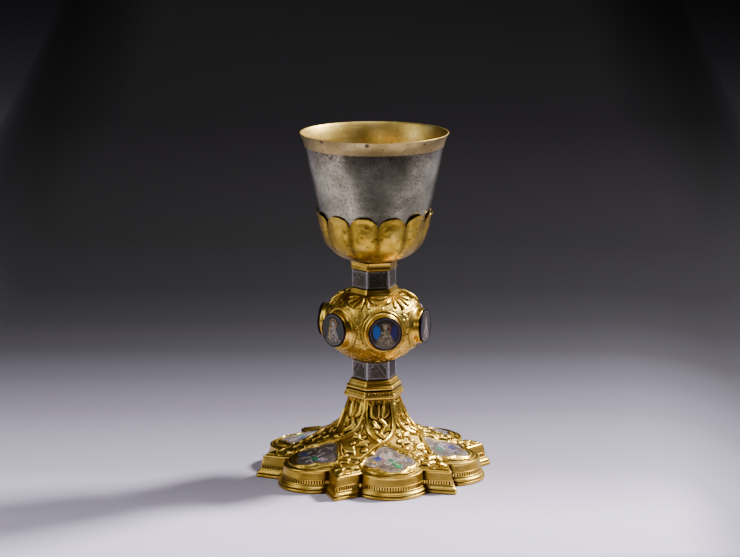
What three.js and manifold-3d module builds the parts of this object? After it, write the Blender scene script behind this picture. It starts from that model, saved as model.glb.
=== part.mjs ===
// A silver-gilt chalice in the Gothic manner, standing 210 mm high. A plain silver bowl with a gilded
// lip sits in a calyx of twelve gilded petals. Below it are a six-sided stem with enamelled panels, a
// round knop with six enamelled roundels, and a six-lobed foot with pointed corners between its lobes.
// Millimetres, +Z up. The origin is on the ground at the middle of the foot. One lobe faces -Y.
import * as THREE from "three";
import { mergeVertices } from "three/addons/utils/BufferGeometryUtils.js";
import Module from "manifold-3d";

const wasm = await Module();
wasm.setup();

// Heights, from the ground up
const heightOverall = 210;
const footWallTop = 13.1;
const neckTop = 48.6;
const lowerCollarTop = 59.2;
const knopBottom = 71.2;
const knopTop = 112.4;
const knopCollarTop = 115.5;
const upperStemTop = 127.4;
const calyxBottom = 132.5;
const bowlBottom = 133.4;

// Bowl and calyx
const rimRadius = 45;
const lipRadius = 41.8; // where the flare of the lip begins
const lipBottom = 201.5;
const coneRadius = 33.9; // of the bowl's wall at coneHeight
const coneHeight = 163;
const bowlRoundTop = 150; // the wall turns inwards below this height
const bowlRoundPower = 2.6;
const bowlWall = 1.1;
const petals = 12;
const petalTurn = THREE.MathUtils.degToRad(7.5);
const petalTop = 162.9;
const petalNotch = 157.2;
const petalBulge = 0.7;
const petalSheet = 0.6;
const fitGap = 0.3;

// Six-sided stem, corner radii
const sides = 6;
const stemCorner = 13.6;
const stemSeat = 0.6; // the depth of the hollow that a panel lies in
const panelSheet = 0.5;
const panelFrame = 1.1;
const neckCorner = 15.8;

// Knop
const knopRadius = 29.6;
const knopPowerAbove = 3; // the ball's shoulders are fuller than its underside
const knopPowerBelow = 2.2;
const roundelHeight = 93;
const roundelFace = 31.6; // the distance of a roundel's flat face from the axis
const medallionRadius = 10.3;
const medallionThick = 1.1;

// Foot
const lobeCentre = 47.2;
const lobeRadius = 19.3;
const cornerReach = 69;
const cornerHalfAngle = THREE.MathUtils.degToRad(36);
const cornerSpread = 1.35; // how far a corner's tip moves for each millimetre of offset
const footSheet = 2;
const sunkBy = 1.2; // the depth that relief reaches below the surface it lies on
const hollowNeck = 12;
const plaqueCentre = 46; // the distance of an enamel plaque's middle from the axis
const plaqueSheet = 0.7;
const bandWidth = 2.6;
const bandHeight = 1.2;
const crossingReach = 29.6; // where two bands cross above a plaque

const sector = (2 * Math.PI) / sides;
const range = (n) => Array.from({ length: n }, (_, i) => i);
const mix = (a, b, t) => a + (b - a) * t;
const smooth = (a, b, x) => THREE.MathUtils.smoothstep(x, a, b);
// A point at a bearing from -Y towards +X
const polar = (bearing, reach, z) => [reach * Math.sin(bearing), -reach * Math.cos(bearing), z];

const gilt = { color: 0xc9a03c, roughness: 0.32, metalness: 1 };
const silver = { color: 0xa9a69d, roughness: 0.38, metalness: 1 };
const stemSilver = { color: 0x8f8a86, roughness: 0.4, metalness: 1 };
const darkEnamel = { color: 0x3a3535, roughness: 0.25, metalness: 0 };
const blueEnamel = { color: 0x2c3f73, roughness: 0.2, metalness: 0 };
const greyEnamel = { color: 0x8c8390, roughness: 0.2, metalness: 0 };

const chalice = new THREE.Group();

function addPiece(name, geometry, finish) {
  const mesh = new THREE.Mesh(geometry, new THREE.MeshStandardMaterial(finish));
  mesh.name = name;
  chalice.add(mesh);
}

function geometryOf(positions, index) {
  const geometry = new THREE.BufferGeometry();
  geometry.setAttribute("position", new THREE.Float32BufferAttribute(positions.flat(), 3));
  geometry.setIndex(index);
  return geometry;
}

// Rings of the same number of points, joined one to the next. With capped, the first and last ring are
// each closed by a fan about their middle; otherwise the last ring is joined back to the first.
// The faces point outwards when the rings run up the outside and each ring runs anticlockwise from above.
function ringSolid(rings, capped) {
  const count = rings[0].length;
  const positions = rings.flat();
  const index = [];
  const last = capped ? rings.length - 1 : rings.length;
  for (let row = 0; row < last; row++) {
    const next = (row + 1) % rings.length;
    for (let i = 0; i < count; i++) {
      const j = (i + 1) % count;
      const [a, b, c, d] = [row * count + i, row * count + j, next * count + j, next * count + i];
      index.push(a, b, c, a, c, d);
    }
  }
  if (capped) {
    for (const [row, flip] of [[0, true], [rings.length - 1, false]]) {
      const middle = [0, 1, 2].map((k) => rings[row].reduce((sum, p) => sum + p[k], 0) / count);
      positions.push(middle);
      const hub = positions.length - 1;
      for (let i = 0; i < count; i++) {
        const [a, b] = [row * count + i, row * count + ((i + 1) % count)];
        index.push(hub, flip ? b : a, flip ? a : b);
      }
    }
  }
  return geometryOf(positions, index);
}

const circle = (count, reach, z) => range(count).map((i) => polar((i * 2 * Math.PI) / count, reach, z));
// A hexagon whose flats face the lobes, given by its corner radius
const hexagon = (corner, z) => range(sides).map((i) => polar((i + 0.5) * sector, corner, z));

function solidOf(geometry) {
  const bare = geometry.clone();
  bare.deleteAttribute("normal");
  bare.deleteAttribute("uv");
  const merged = mergeVertices(bare, 1e-4);
  const mesh = new wasm.Mesh({
    numProp: 3,
    vertProperties: merged.attributes.position.array,
    triVerts: new Uint32Array(merged.index.array),
  });
  return new wasm.Manifold(mesh);
}

function geometryFrom(solid) {
  const mesh = solid.getMesh();
  const geometry = new THREE.BufferGeometry();
  geometry.setAttribute("position", new THREE.BufferAttribute(mesh.vertProperties, 3));
  geometry.setIndex(new THREE.BufferAttribute(mesh.triVerts, 1));
  return geometry;
}

const joined = (solid, others) => others.reduce((whole, other) => whole.add(other), solid);
const turnedAbout = (geometry, bearing) => geometry.clone().rotateZ(bearing);

// Bowl: a straight flaring wall on a round bottom. The calyx follows the same rows of points, so that
// the gap between the two stays even.
const bowlAround = 48;
const roundShares = [0, 0.05, 0.2, 0.5, 1];

function bowlRadius(z, depth) {
  const cone = mix(coneRadius, lipRadius, (z - coneHeight) / (lipBottom - coneHeight));
  const below = Math.min(1, Math.max(0, (bowlRoundTop - z) / depth));
  return cone * (1 - below ** bowlRoundPower) ** (1 / bowlRoundPower);
}

// A row of the round bottom, moved outwards by offset: [radius, height]
function roundRow(share, offset) {
  const depth = bowlRoundTop - bowlBottom + 0.7;
  const z = mix(bowlBottom, bowlRoundTop, share);
  return [bowlRadius(z, depth) + offset, z - offset * (1 - share)];
}

function bowl() {
  const ring = (radius, z) => circle(bowlAround, radius, z);
  const rings = roundShares.map((share) => ring(...roundRow(share, 0)));
  rings.push(ring(lipRadius, lipBottom));
  rings.push(ring(rimRadius, heightOverall));
  rings.push(ring(rimRadius - bowlWall, heightOverall));
  rings.push(ring(lipRadius - bowlWall, lipBottom));
  for (const share of [1, 0.3, 0]) rings.push(ring(...roundRow(share, -bowlWall)));
  addPiece("bowl", ringSolid(rings, true), silver);
}

// Calyx: twelve petals with rounded tips, pressed from sheet, about the bowl's bottom
function calyx() {
  const perPetal = bowlAround / petals;
  const across = (i) => 2 * Math.abs(((i + perPetal / 2) % perPetal) / perPetal - 0.5);
  const row = (outside, place) =>
    range(bowlAround).map((i) => {
      const s = across(i); // 0 in the middle of a petal, 1 at a seam
      const edge = petalNotch + (petalTop - petalNotch) * Math.sqrt(1 - s ** 2);
      const [radius, z, swell] = place(edge);
      const bulge = outside ? swell * petalBulge * (1 - s ** 2) : 0;
      return polar(petalTurn + (i * 2 * Math.PI) / bowlAround, radius + bulge, z);
    });
  const onWall = (offset, share, swell) => (edge) => {
    const z = mix(bowlRoundTop, edge, share);
    return [bowlRadius(z, 1) + offset, z, swell];
  };
  const outer = fitGap + petalSheet;
  const bottom = (share) => [...roundRow(share, outer), Math.min(1, 3 * share)];
  const rings = roundShares.map((share) => row(true, () => bottom(share)));
  rings.push(row(true, onWall(outer, 0.6, 1)));
  rings.push(row(true, onWall(outer, 1, 0.4)));
  rings.push(row(false, onWall(fitGap, 1, 0)));
  for (const share of [...roundShares].reverse()) rings.push(row(false, () => roundRow(share, fitGap)));
  addPiece("calyx", ringSolid(rings, true), gilt);
}

// A six-sided drum with a shallow hollow in each side for an enamelled panel
function stem(name, bottom, top) {
  const flat = stemCorner * Math.cos(sector / 2);
  const width = stemCorner - 2 * panelFrame;
  const height = top - bottom - 2 * panelFrame;
  const middle = (bottom + top) / 2;
  const block = (depth, shrink) => new THREE.BoxGeometry(width - shrink, depth, height - shrink);
  const seat = block(2 * stemSeat, 0).translate(0, -flat, middle);
  let drum = solidOf(ringSolid([hexagon(stemCorner, bottom), hexagon(stemCorner, top)], true));
  for (const i of range(sides)) drum = drum.subtract(solidOf(turnedAbout(seat, i * sector)));
  addPiece(name, geometryFrom(drum), stemSilver);
  const panel = block(panelSheet, fitGap).translate(0, -flat + stemSeat - panelSheet / 2 - 0.02, middle);
  for (const i of range(sides)) {
    addPiece(`${name}_panel_${i + 1}`, turnedAbout(panel, i * sector), darkEnamel);
  }
}

// Turned mouldings with six sides: [corner radius, height] from the bottom up
function hexMoulding(name, profile) {
  addPiece(name, ringSolid(profile.map(([corner, z]) => hexagon(corner, z)), true), gilt);
}

function collars() {
  hexMoulding("calyx_collar", [
    [14.2, upperStemTop],
    [14.4, upperStemTop + 0.8],
    [14.2, upperStemTop + 1.4],
    [14.8, calyxBottom - fitGap],
  ]);
  hexMoulding("knop_collar", [
    [15.3, knopTop + fitGap],
    [14.6, knopTop + 1.2],
    [14.4, knopCollarTop],
  ]);
  hexMoulding("foot_collar", [
    [18.2, neckTop],
    [19, neckTop + 0.5],
    [18.9, neckTop + 1.6],
    [18.2, neckTop + 2],
    [17.9, neckTop + 4],
    [17.6, neckTop + 4.6],
    [16.5, neckTop + 4.7],
    [16.5, neckTop + 5.3],
    [17.4, neckTop + 6],
    [17.4, neckTop + 6.7],
    [16.8, neckTop + 7.4],
    [16, neckTop + 8.5],
    [16, neckTop + 9.1],
    [15.1, neckTop + 9.6],
    [14.6, lowerCollarTop],
  ]);
}

// Knop: a flattened ball with six flared seats for medallions and leaves between them
const knopMiddle = (knopBottom + knopTop) / 2;
const knopHalf = (knopTop - knopBottom) / 2 + 0.6;

function knopSurface(latitude) {
  const power = latitude > 0 ? knopPowerAbove : knopPowerBelow;
  const flatten = (v) => Math.sign(v) * Math.abs(v) ** (2 / power);
  return [knopRadius * flatten(Math.cos(latitude)), knopMiddle + knopHalf * flatten(Math.sin(latitude))];
}

function knopBall() {
  const around = 24;
  const end = 1.36; // the latitude where the ball is cut flat
  const rows = 7;
  const rings = range(rows).map((row) => {
    const latitude = mix(-end, end, row / (rows - 1));
    const [radius, z] = knopSurface(latitude);
    const height = row === 0 ? knopBottom : row === rows - 1 ? knopTop : z;
    return circle(around, radius, height);
  });
  return solidOf(ringSolid(rings, true));
}

function roundelSeat() {
  const profile = [
    [0, roundelFace - 14],
    [13.1, roundelFace - 14],
    [12.9, roundelFace - 5.1],
    [10.7, roundelFace - 3.4],
    [10.4, roundelFace],
    [0, roundelFace],
  ].map(([radius, reach]) => new THREE.Vector2(radius, reach));
  const seat = new THREE.LatheGeometry(profile, 20);
  // The lathe's axis is +Y: turn it to face -Y
  return seat.rotateX(Math.PI).translate(0, 0, roundelHeight);
}

// The place, outward normal and side direction along a path that surface(t) gives
function along(surface, normalAt) {
  return (t) => {
    const point = surface(t);
    const ahead = surface(Math.min(1, t + 0.01)).sub(surface(Math.max(0, t - 0.01))).normalize();
    const normal = normalAt(point);
    return { point, normal, side: new THREE.Vector3().crossVectors(normal, ahead).normalize() };
  };
}

// Palmettes fan out over the shoulders from the stem's corners, between the seats
const palmetteBlades = [
  [-0.25, 0],
  [-0.8, 0.6],
  [-0.25, 0.6],
  [0, 1],
  [0.25, 0.6],
  [0.8, 0.6],
  [0.25, 0],
];

function knopLeaves() {
  const length = 12.5;
  const made = [];
  for (const up of [1, -1]) {
    for (const i of range(sides)) {
      const at = (across, ahead, height) => {
        const latitude = up * (1.24 - (length * ahead) / 23);
        const [radius, z] = knopSurface(latitude);
        const turn = (i + 0.5) * sector + (up * length * across) / radius;
        const [x, y] = polar(turn, radius, z);
        const normal = new THREE.Vector3(x / 900, y / 900, (z - knopMiddle) / 460).normalize();
        return new THREE.Vector3(x, y, z).addScaledVector(normal, height).toArray();
      };
      const ring = (height) => palmetteBlades.map(([across, ahead]) => at(across, ahead, height));
      const fan = ringSolid([ring(-sunkBy), ring(0.25)], true);
      fan.attributes.position.setXYZ(2 * palmetteBlades.length + 1, ...at(0, 0.3, 1.4));
      made.push(solidOf(fan));
    }
  }
  return made;
}

function knop() {
  const seat = roundelSeat();
  const seats = range(sides).map((i) => solidOf(turnedAbout(seat, i * sector)));
  const block = new THREE.BoxGeometry(90, 90, knopTop - knopBottom).translate(0, 0, knopMiddle);
  const whole = joined(joined(knopBall(), knopLeaves()).intersect(solidOf(block)), seats);
  addPiece("knop", geometryFrom(whole), gilt);
  const disc = new THREE.CylinderGeometry(medallionRadius, medallionRadius - 0.4, medallionThick, 20);
  disc.translate(0, -(roundelFace + fitGap + medallionThick / 2), roundelHeight);
  for (const i of range(sides)) {
    addPiece(`knop_medallion_${i + 1}`, turnedAbout(disc, i * sector), blueEnamel);
  }
}

// The foot's outline, as the reach at a bearing, moved outwards by offset
const cornerBase = [cornerReach * Math.sin(sector / 2), cornerReach * Math.cos(sector / 2)];
const cornerSide = [
  -Math.sin(sector / 2 + cornerHalfAngle),
  -Math.cos(sector / 2 + cornerHalfAngle),
];
const fromLobe = (bearing) => Math.abs(bearing - sector * Math.round(bearing / sector));

function outline(bearing, offset) {
  const turn = fromLobe(bearing);
  const radius = lobeRadius + offset;
  const sine = lobeCentre * Math.sin(turn);
  const lobe = sine < radius ? lobeCentre * Math.cos(turn) + Math.sqrt(radius ** 2 - sine ** 2) : 0;
  // The corner's side is a line: find where the bearing's ray meets it
  const [dx, dy] = cornerSide;
  const [px, py] = [cornerBase[0] - offset * -dy, cornerBase[1] + offset * -dx];
  const corner = (px * dy - py * dx) / (Math.sin(turn) * dy - Math.cos(turn) * dx);
  // The tips are a little blunt
  const tip = Math.min(corner, cornerReach + cornerSpread * offset);
  return Math.max(lobe, turn > sector / 8 ? tip : 0);
}

// The foot's upper surface: a hyperbola that sweeps up from the lobes into the six-sided neck
const sweepScale = 470;
const sweepAxis = 4.5;
const sweepBase = footWallTop + 0.2 - sweepScale / (cornerReach - sweepAxis) + 0.4;

function footSurface(bearing, reach) {
  const six = Math.cos(sector / 2) / Math.cos(sector / 2 - Math.abs(fromLobe(bearing) - sector / 2));
  const hex = Math.cos(sector / 2) / Math.cos(fromLobe(bearing));
  const plan = mix(hex, Math.max(six, 1), smooth(neckCorner, 30, reach));
  const free = sweepBase + sweepScale / (reach / plan - sweepAxis);
  const inward = outline(bearing, 0) - reach;
  return footWallTop + (free - footWallTop) * smooth(-1, 9, inward);
}

function footPoint(bearing, reach) {
  return new THREE.Vector3(...polar(bearing, reach, footSurface(bearing, reach)));
}

function footNormal(point) {
  const bearing = Math.atan2(point.x, -point.y);
  const reach = Math.hypot(point.x, point.y);
  const step = 0.2;
  const run = footPoint(bearing, reach + step).sub(footPoint(bearing, reach - step));
  const turn = footPoint(bearing + step / reach, reach).sub(footPoint(bearing - step / reach, reach));
  return run.cross(turn).normalize();
}

function neckReach(bearing) {
  return (neckCorner * Math.cos(sector / 2)) / Math.cos(fromLobe(bearing));
}

function footShell() {
  const notch = THREE.MathUtils.degToRad(19.4);
  const lobeSteps = 6;
  const turns = [
    ...range(lobeSteps + 1).map((i) => mix(-notch, notch, i / lobeSteps)),
    sector / 2,
  ];
  const bearings = range(sides).flatMap((i) => turns.map((turn) => i * sector + turn));
  const shell = (share, sunk) =>
    bearings.map((bearing) => {
      const reach = mix(neckReach(bearing), outline(bearing, 0), share);
      const p = footPoint(bearing, reach);
      if (sunk) p.addScaledVector(footNormal(p), -sunk);
      return p.toArray();
    });
  const wall = (offset, z) => bearings.map((bearing) => polar(bearing, outline(bearing, offset), z));
  const rings = [wall(-footSheet, 0), wall(3.2, 0)];
  const mouldings = [
    [3.5, 1.6],
    [3.1, 3],
    [1.9, 4.6],
    [0.9, 5.4],
    [0.7, 7.5],
    [1.1, 7.9],
    [0, footWallTop],
  ];
  for (const [offset, z] of mouldings) rings.push(wall(offset, z));
  for (const share of [0.86, 0.52, 0.26, 0.09]) rings.push(shell(share, 0));
  rings.push(bearings.map((bearing) => polar(bearing, neckReach(bearing), neckTop - fitGap)));
  rings.push(bearings.map((bearing) => polar(bearing, hollowNeck, neckTop - fitGap)));
  for (const share of [0.12, 0.45]) rings.push(shell(share, footSheet));
  rings.push(wall(-footSheet, footWallTop - footSheet));
  return solidOf(ringSolid(rings, false));
}

// A quatrefoil, as the distance from its middle at an angle; offset moves it outwards
function quatrefoil(angle, offset) {
  const lobes = [
    [0, 5.6, 8],
    [7.8, 0, 7.4],
    [0, -5.6, 7.8],
    [-7.8, 0, 7.4],
  ];
  const [ux, uy] = [Math.sin(angle), Math.cos(angle)];
  const hits = lobes.map(([x, y, radius]) => {
    const near = x * ux + y * uy;
    const inside = (radius + offset) ** 2 - (x * x + y * y - near * near);
    return inside > 0 ? near + Math.sqrt(inside) : 0;
  });
  return Math.max(...hits);
}

// A plate of quatrefoil outline draped on the foot, with its underside and top at heights above it
function quatrefoilRing(count, offset, lift) {
  return range(count).map((i) => {
    const angle = (-i * 2 * Math.PI) / count;
    const distance = quatrefoil(angle, offset);
    const [x, y] = [distance * Math.sin(angle), -plaqueCentre + distance * Math.cos(angle)];
    const p = footPoint(Math.atan2(x, -y), Math.hypot(x, y));
    return [x, y, p.z + lift];
  });
}

function plaques() {
  const around = 16;
  const under = 0.8;
  const rings = [
    quatrefoilRing(around, 0, under),
    quatrefoilRing(around, 0, under + plaqueSheet * 0.7),
    quatrefoilRing(around, -0.4, under + plaqueSheet),
  ];
  const plate = ringSolid(rings, true);
  // The fans' middles belong on the curved surface
  const middle = footSurface(0, plaqueCentre);
  const position = plate.attributes.position;
  const hub = position.count - 2;
  position.setXYZ(hub, 0, -plaqueCentre, middle + under);
  position.setXYZ(hub + 1, 0, -plaqueCentre, middle + under + plaqueSheet);
  for (const i of range(sides)) {
    addPiece(`foot_plaque_${i + 1}`, turnedAbout(plate, i * sector), greyEnamel);
  }
}

function plaqueFrame() {
  const around = 16;
  const rings = [
    [2.8, -sunkBy],
    [1.6, 1.8],
    [fitGap, -sunkBy],
  ].map(([offset, lift]) => quatrefoilRing(around, offset, lift));
  return ringSolid(rings, false);
}

// A flat band lying on the foot along a path of [bearing in degrees, reach]
function band(path, lift) {
  const curve = new THREE.CatmullRomCurve3(
    path.map(([bearing, reach]) => new THREE.Vector3(THREE.MathUtils.degToRad(bearing), reach, 0)),
    false,
    "centripetal",
  );
  const place = along((t) => {
    const p = curve.getPoint(t);
    return footPoint(p.x, p.y);
  }, footNormal);
  const steps = 4;
  const rings = range(steps + 1).map((step) => {
    const t = step / steps;
    const { point, normal, side } = place(t);
    const raised = bandHeight + (step === 1 ? lift : 0);
    const corner = (across, height) =>
      point.clone().addScaledVector(side, across * bandWidth).addScaledVector(normal, height).toArray();
    return [corner(0.7, -sunkBy), corner(0, raised), corner(-0.7, -sunkBy)];
  });
  const made = solidOf(ringSolid(rings, true));
  return made.volume() < 0 ? solidOf(ringSolid(rings.reverse(), true)) : made;
}

// Two bands leave each plaque's frame, cross above it and climb the neck's corners
function bands() {
  const climb = [
    [-11.2, 33.4],
    [0, crossingReach],
    [11.5, 26.3],
    [20.3, 22.9],
    [26, 19.6],
    [28.6, 17.4],
    [28.4, 16.2],
  ];
  const mirrored = climb.map(([bearing, reach]) => [-bearing, reach]);
  const turnedPath = (path, i) => path.map(([bearing, reach]) => [bearing + (i * 360) / sides, reach]);
  return range(sides).flatMap((i) => [band(turnedPath(climb, i), 0.5), band(turnedPath(mirrored, i), 0)]);
}

// A leaf of three blades lying on the foot, its stalk at a bearing and reach, pointing along heading
const leafBlades = [
  [-0.4, 0.25],
  [-0.9, 0.62],
  [-0.35, 0.66],
  [0, 1],
  [0.35, 0.66],
  [0.9, 0.62],
  [0.4, 0.25],
];

function leaf(bearing, reach, heading, size) {
  const start = footPoint(bearing, reach);
  const at = (across, ahead, height) => {
    const x = start.x + size * (across * Math.cos(heading) * 0.6 + ahead * Math.sin(heading));
    const y = start.y + size * (across * Math.sin(heading) * 0.6 - ahead * Math.cos(heading));
    const p = footPoint(Math.atan2(x, -y), Math.hypot(x, y));
    return p.addScaledVector(footNormal(p), height).toArray();
  };
  const ring = (height) => leafBlades.map(([across, ahead]) => at(across, ahead, height));
  const made = ringSolid([ring(-sunkBy), ring(0.5)], true);
  made.attributes.position.setXYZ(2 * leafBlades.length + 1, ...at(0, 0.55, 1.6));
  return solidOf(made);
}

// Leaves on the vine between the plaques, and one in each pointed oval on the neck
function footCarving() {
  const made = [];
  for (const i of range(sides)) {
    const corner = (i + 0.5) * sector;
    made.push(leaf(corner, 57.5, corner, 8));
    made.push(leaf(corner, 38.5, corner, 8));
    made.push(leaf(i * sector, 25.5, i * sector + Math.PI, 9));
  }
  return made;
}

function foot() {
  const frame = plaqueFrame();
  const frames = range(sides).map((i) => solidOf(turnedAbout(frame, i * sector)));
  const tall = neckTop - fitGap;
  const block = new THREE.BoxGeometry(200, 200, tall).translate(0, 0, tall / 2);
  const whole = joined(joined(footShell(), frames), [...bands(), ...footCarving()]);
  addPiece("foot", geometryFrom(whole.intersect(solidOf(block))), gilt);
}

foot();
plaques();
collars();
stem("lower_stem", lowerCollarTop + fitGap, knopBottom - fitGap);
knop();
stem("upper_stem", knopCollarTop + fitGap, upperStemTop - fitGap);
calyx();
bowl();

export default chalice;
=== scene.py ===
import math

import bpy
import numpy as np
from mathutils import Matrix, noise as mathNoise
from mathutils import Vector


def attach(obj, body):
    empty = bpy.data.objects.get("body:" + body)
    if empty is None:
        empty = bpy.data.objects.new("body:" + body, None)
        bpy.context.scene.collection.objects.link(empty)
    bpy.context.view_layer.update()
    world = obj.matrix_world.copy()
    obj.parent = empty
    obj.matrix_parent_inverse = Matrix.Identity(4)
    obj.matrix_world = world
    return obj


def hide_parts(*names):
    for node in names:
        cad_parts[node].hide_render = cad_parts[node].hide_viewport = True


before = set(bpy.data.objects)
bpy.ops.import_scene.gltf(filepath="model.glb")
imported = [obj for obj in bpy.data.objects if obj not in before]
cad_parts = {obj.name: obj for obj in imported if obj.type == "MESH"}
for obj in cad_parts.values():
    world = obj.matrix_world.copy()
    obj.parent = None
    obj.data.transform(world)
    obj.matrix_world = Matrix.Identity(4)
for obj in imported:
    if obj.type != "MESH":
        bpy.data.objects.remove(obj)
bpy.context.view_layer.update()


mm = 0.001
lobes = 6
sector = 2 * math.pi / lobes


# small helpers


def smooth(a, b, x):
    t = np.clip((x - a) / (b - a), 0, 1)
    return t * t * (3 - 2 * t)


def mix(a, b, t):
    return a + (b - a) * t


def linear(colour):  # sRGB hex to linear RGBA
    values = [int(colour[i : i + 2], 16) / 255 for i in (1, 3, 5)]
    return tuple(v / 12.92 if v <= 0.04045 else ((v + 0.055) / 1.055) ** 2.4 for v in values) + (1,)


def addNode(tree, kind, inputs=None, **settings):
    made = tree.nodes.new(kind)
    for key, value in settings.items():
        setattr(made, key, value)
    for key, value in (inputs or {}).items():
        if isinstance(value, bpy.types.NodeSocket):
            tree.links.new(value, made.inputs[key])
        else:
            made.inputs[key].default_value = value
    return made


def meshPiece(name, points, faces, material, attributes=None, sharp=40):
    mesh = bpy.data.meshes.new(name)
    mesh.from_pydata((np.asarray(points) * mm).tolist(), [], faces)
    for key, values in (attributes or {}).items():
        values = np.asarray(values, dtype=np.float32)
        if values.ndim == 1:
            mesh.attributes.new(key, "FLOAT", "POINT").data.foreach_set("value", values)
        else:
            rgba = np.ones((len(values), 4), dtype=np.float32)
            rgba[:, :3] = values
            mesh.attributes.new(key, "FLOAT_COLOR", "POINT").data.foreach_set("color", rgba.ravel())
    mesh.polygons.foreach_set("use_smooth", np.ones(len(mesh.polygons), dtype=bool))
    mesh.set_sharp_from_angle(angle=math.radians(sharp))
    mesh.materials.append(material)
    mesh.update()
    piece = bpy.data.objects.new(name, mesh)
    bpy.context.scene.collection.objects.link(piece)
    return piece


def gridFaces(rows, columns, loop):
    # rows of points going round, each row joined to the next
    r, c = np.meshgrid(np.arange(rows if loop else rows - 1), np.arange(columns), indexing="ij")
    r, c = r.ravel(), c.ravel()
    up, on = (r + 1) % rows, (c + 1) % columns
    return np.stack([r * columns + c, r * columns + on, up * columns + on, up * columns + c], 1).tolist()


def roundPiece(name, grid, material, attributes=None, loop=False, sharp=40):
    # grid[row, column] runs up the outside and anticlockwise from above; the ends get a fan each
    rows, columns = grid.shape[:2]
    points = grid.reshape(-1, 3)
    faces = gridFaces(rows, columns, loop)
    attributes = {
        key: np.asarray(values).reshape(rows * columns, -1).squeeze()
        for key, values in (attributes or {}).items()
    }
    if not loop:
        hubs = [grid[0].mean(0), grid[-1].mean(0)]
        points = np.vstack([points, hubs])
        first, last = rows * columns, rows * columns + 1
        for c in range(columns):
            on = (c + 1) % columns
            faces.append((first, on, c))
            faces.append((last, (rows - 1) * columns + c, (rows - 1) * columns + on))
        for key, values in attributes.items():
            ends = [values[:columns].mean(0), values[-columns:].mean(0)]
            attributes[key] = np.concatenate([values, np.array(ends)])
    return meshPiece(name, points, faces, material, attributes, sharp)


def polar(bearing, reach, z):
    # a point at a bearing from -Y towards +X, in millimetres
    return np.stack(np.broadcast_arrays(reach * np.sin(bearing), -reach * np.cos(bearing), z), -1)


def wobble(points, scale, seed):
    # smooth noise at points, about -1 to 1
    offset = Vector((seed * 17.3, seed * 5.1, -seed * 9.7))
    return np.array([mathNoise.noise(Vector(p) * scale + offset) for p in points])


def turned(points, bearing):
    c, s = math.cos(bearing), math.sin(bearing)
    x, y = points[..., 0], points[..., 1]
    return np.stack([c * x - s * y, s * x + c * y, points[..., 2]], -1)


def place(piece, slotName, *nodes):
    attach(piece, "root")
    if nodes:
        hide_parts(*nodes)


# camera, floor and light

view = {
    "bearing": -11.6,  # degrees: a lobe of the foot is turned this much to the camera's right
    "distance": 1680.0,
    "height": 463.0,
    "pitch": 11.53,
    "aside": 2.5,
    "lens": 137.55,
}
heading = math.radians(view["bearing"])


def fromCamera(x, y, z):
    # x to the camera's right, y away from it, millimetres from the chalice's axis
    c, s = math.cos(heading), math.sin(heading)
    return Vector((c * x - s * y, s * x + c * y, z)) * mm


cameraData = bpy.data.cameras.new("camera")
cameraData.lens = view["lens"]
cameraData.sensor_width = 36
cameraData.clip_start = 0.05
camera = bpy.data.objects.new("camera", cameraData)
camera.location = fromCamera(-view["aside"], -view["distance"], view["height"])
camera.rotation_euler = (math.pi / 2 - math.radians(view["pitch"]), 0, heading)
bpy.context.scene.collection.objects.link(camera)
bpy.context.scene.camera = camera

studio = {
    # painted pool of light: paper colour by metres from the middle of the pool
    "floor": [
        (0.0, "#DDD4ED"),
        (0.11, "#9D98AA"),
        (0.26, "#6A6675"),
        (0.35, "#4E4C56"),
        (0.44, "#343238"),
        (0.54, "#252428"),
        (0.66, "#1C1B1E"),
        (0.87, "#1A191B"),
        (1.5, "#242225"),
        (2.6, "#3A383B"),
    ],
    "poolNear": -0.19,  # the paper is evenly pale between these two depths
    "poolFar": -0.11,
    "slant": 0.12,  # the pale paper comes further forward on the left
    "nearFall": 5.0,  # how much faster it darkens towards the camera
    "nearDepth": -0.38,  # and no darker than this
    "asideFrom": 0.28,  # out of the picture on both sides the paper darkens less far back
    "asideTo": 0.42,
    "asideShare": 0.25,
    "rightEdge": 0.17,  # on the right it darkens from here
    "rightFall": 3.0,
    "rightDepth": 0.24,
    "world": "#5A5B60",
    "worldStrength": 0.11,
    "lights": [
        # name, place, size, power, colour
        ("keyRight", (860, 430, 950), (230, 230), 65, "#FFFCFA"),
        ("fillLeft", (-880, -260, 560), (420, 900), 4.5, "#FFFFFF"),
        ("overhead", (60, -340, 1250), (760, 560), 4.5, "#FAFAFF"),
        ("front", (-260, -1500, 620), (420, 300), 2, "#FFF8F0"),
    ],
}


def addLights():
    for name, where, size, power, colour in studio["lights"]:
        data = bpy.data.lights.new(name, "AREA")
        data.shape = "RECTANGLE"
        data.size, data.size_y = size[0] * mm, size[1] * mm
        data.energy = power
        data.color = linear(colour)[:3]
        lamp = bpy.data.objects.new(name, data)
        lamp.location = fromCamera(*where)
        aim = Vector((0, 0, 0.1)) - lamp.location
        lamp.rotation_euler = aim.to_track_quat("-Z", "Y").to_euler()
        bpy.context.scene.collection.objects.link(lamp)
    world = bpy.data.worlds.new("studio")
    world.use_nodes = True
    back = world.node_tree.nodes["Background"]
    back.inputs["Color"].default_value = linear(studio["world"])
    back.inputs["Strength"].default_value = studio["worldStrength"]
    bpy.context.scene.world = world


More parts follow.
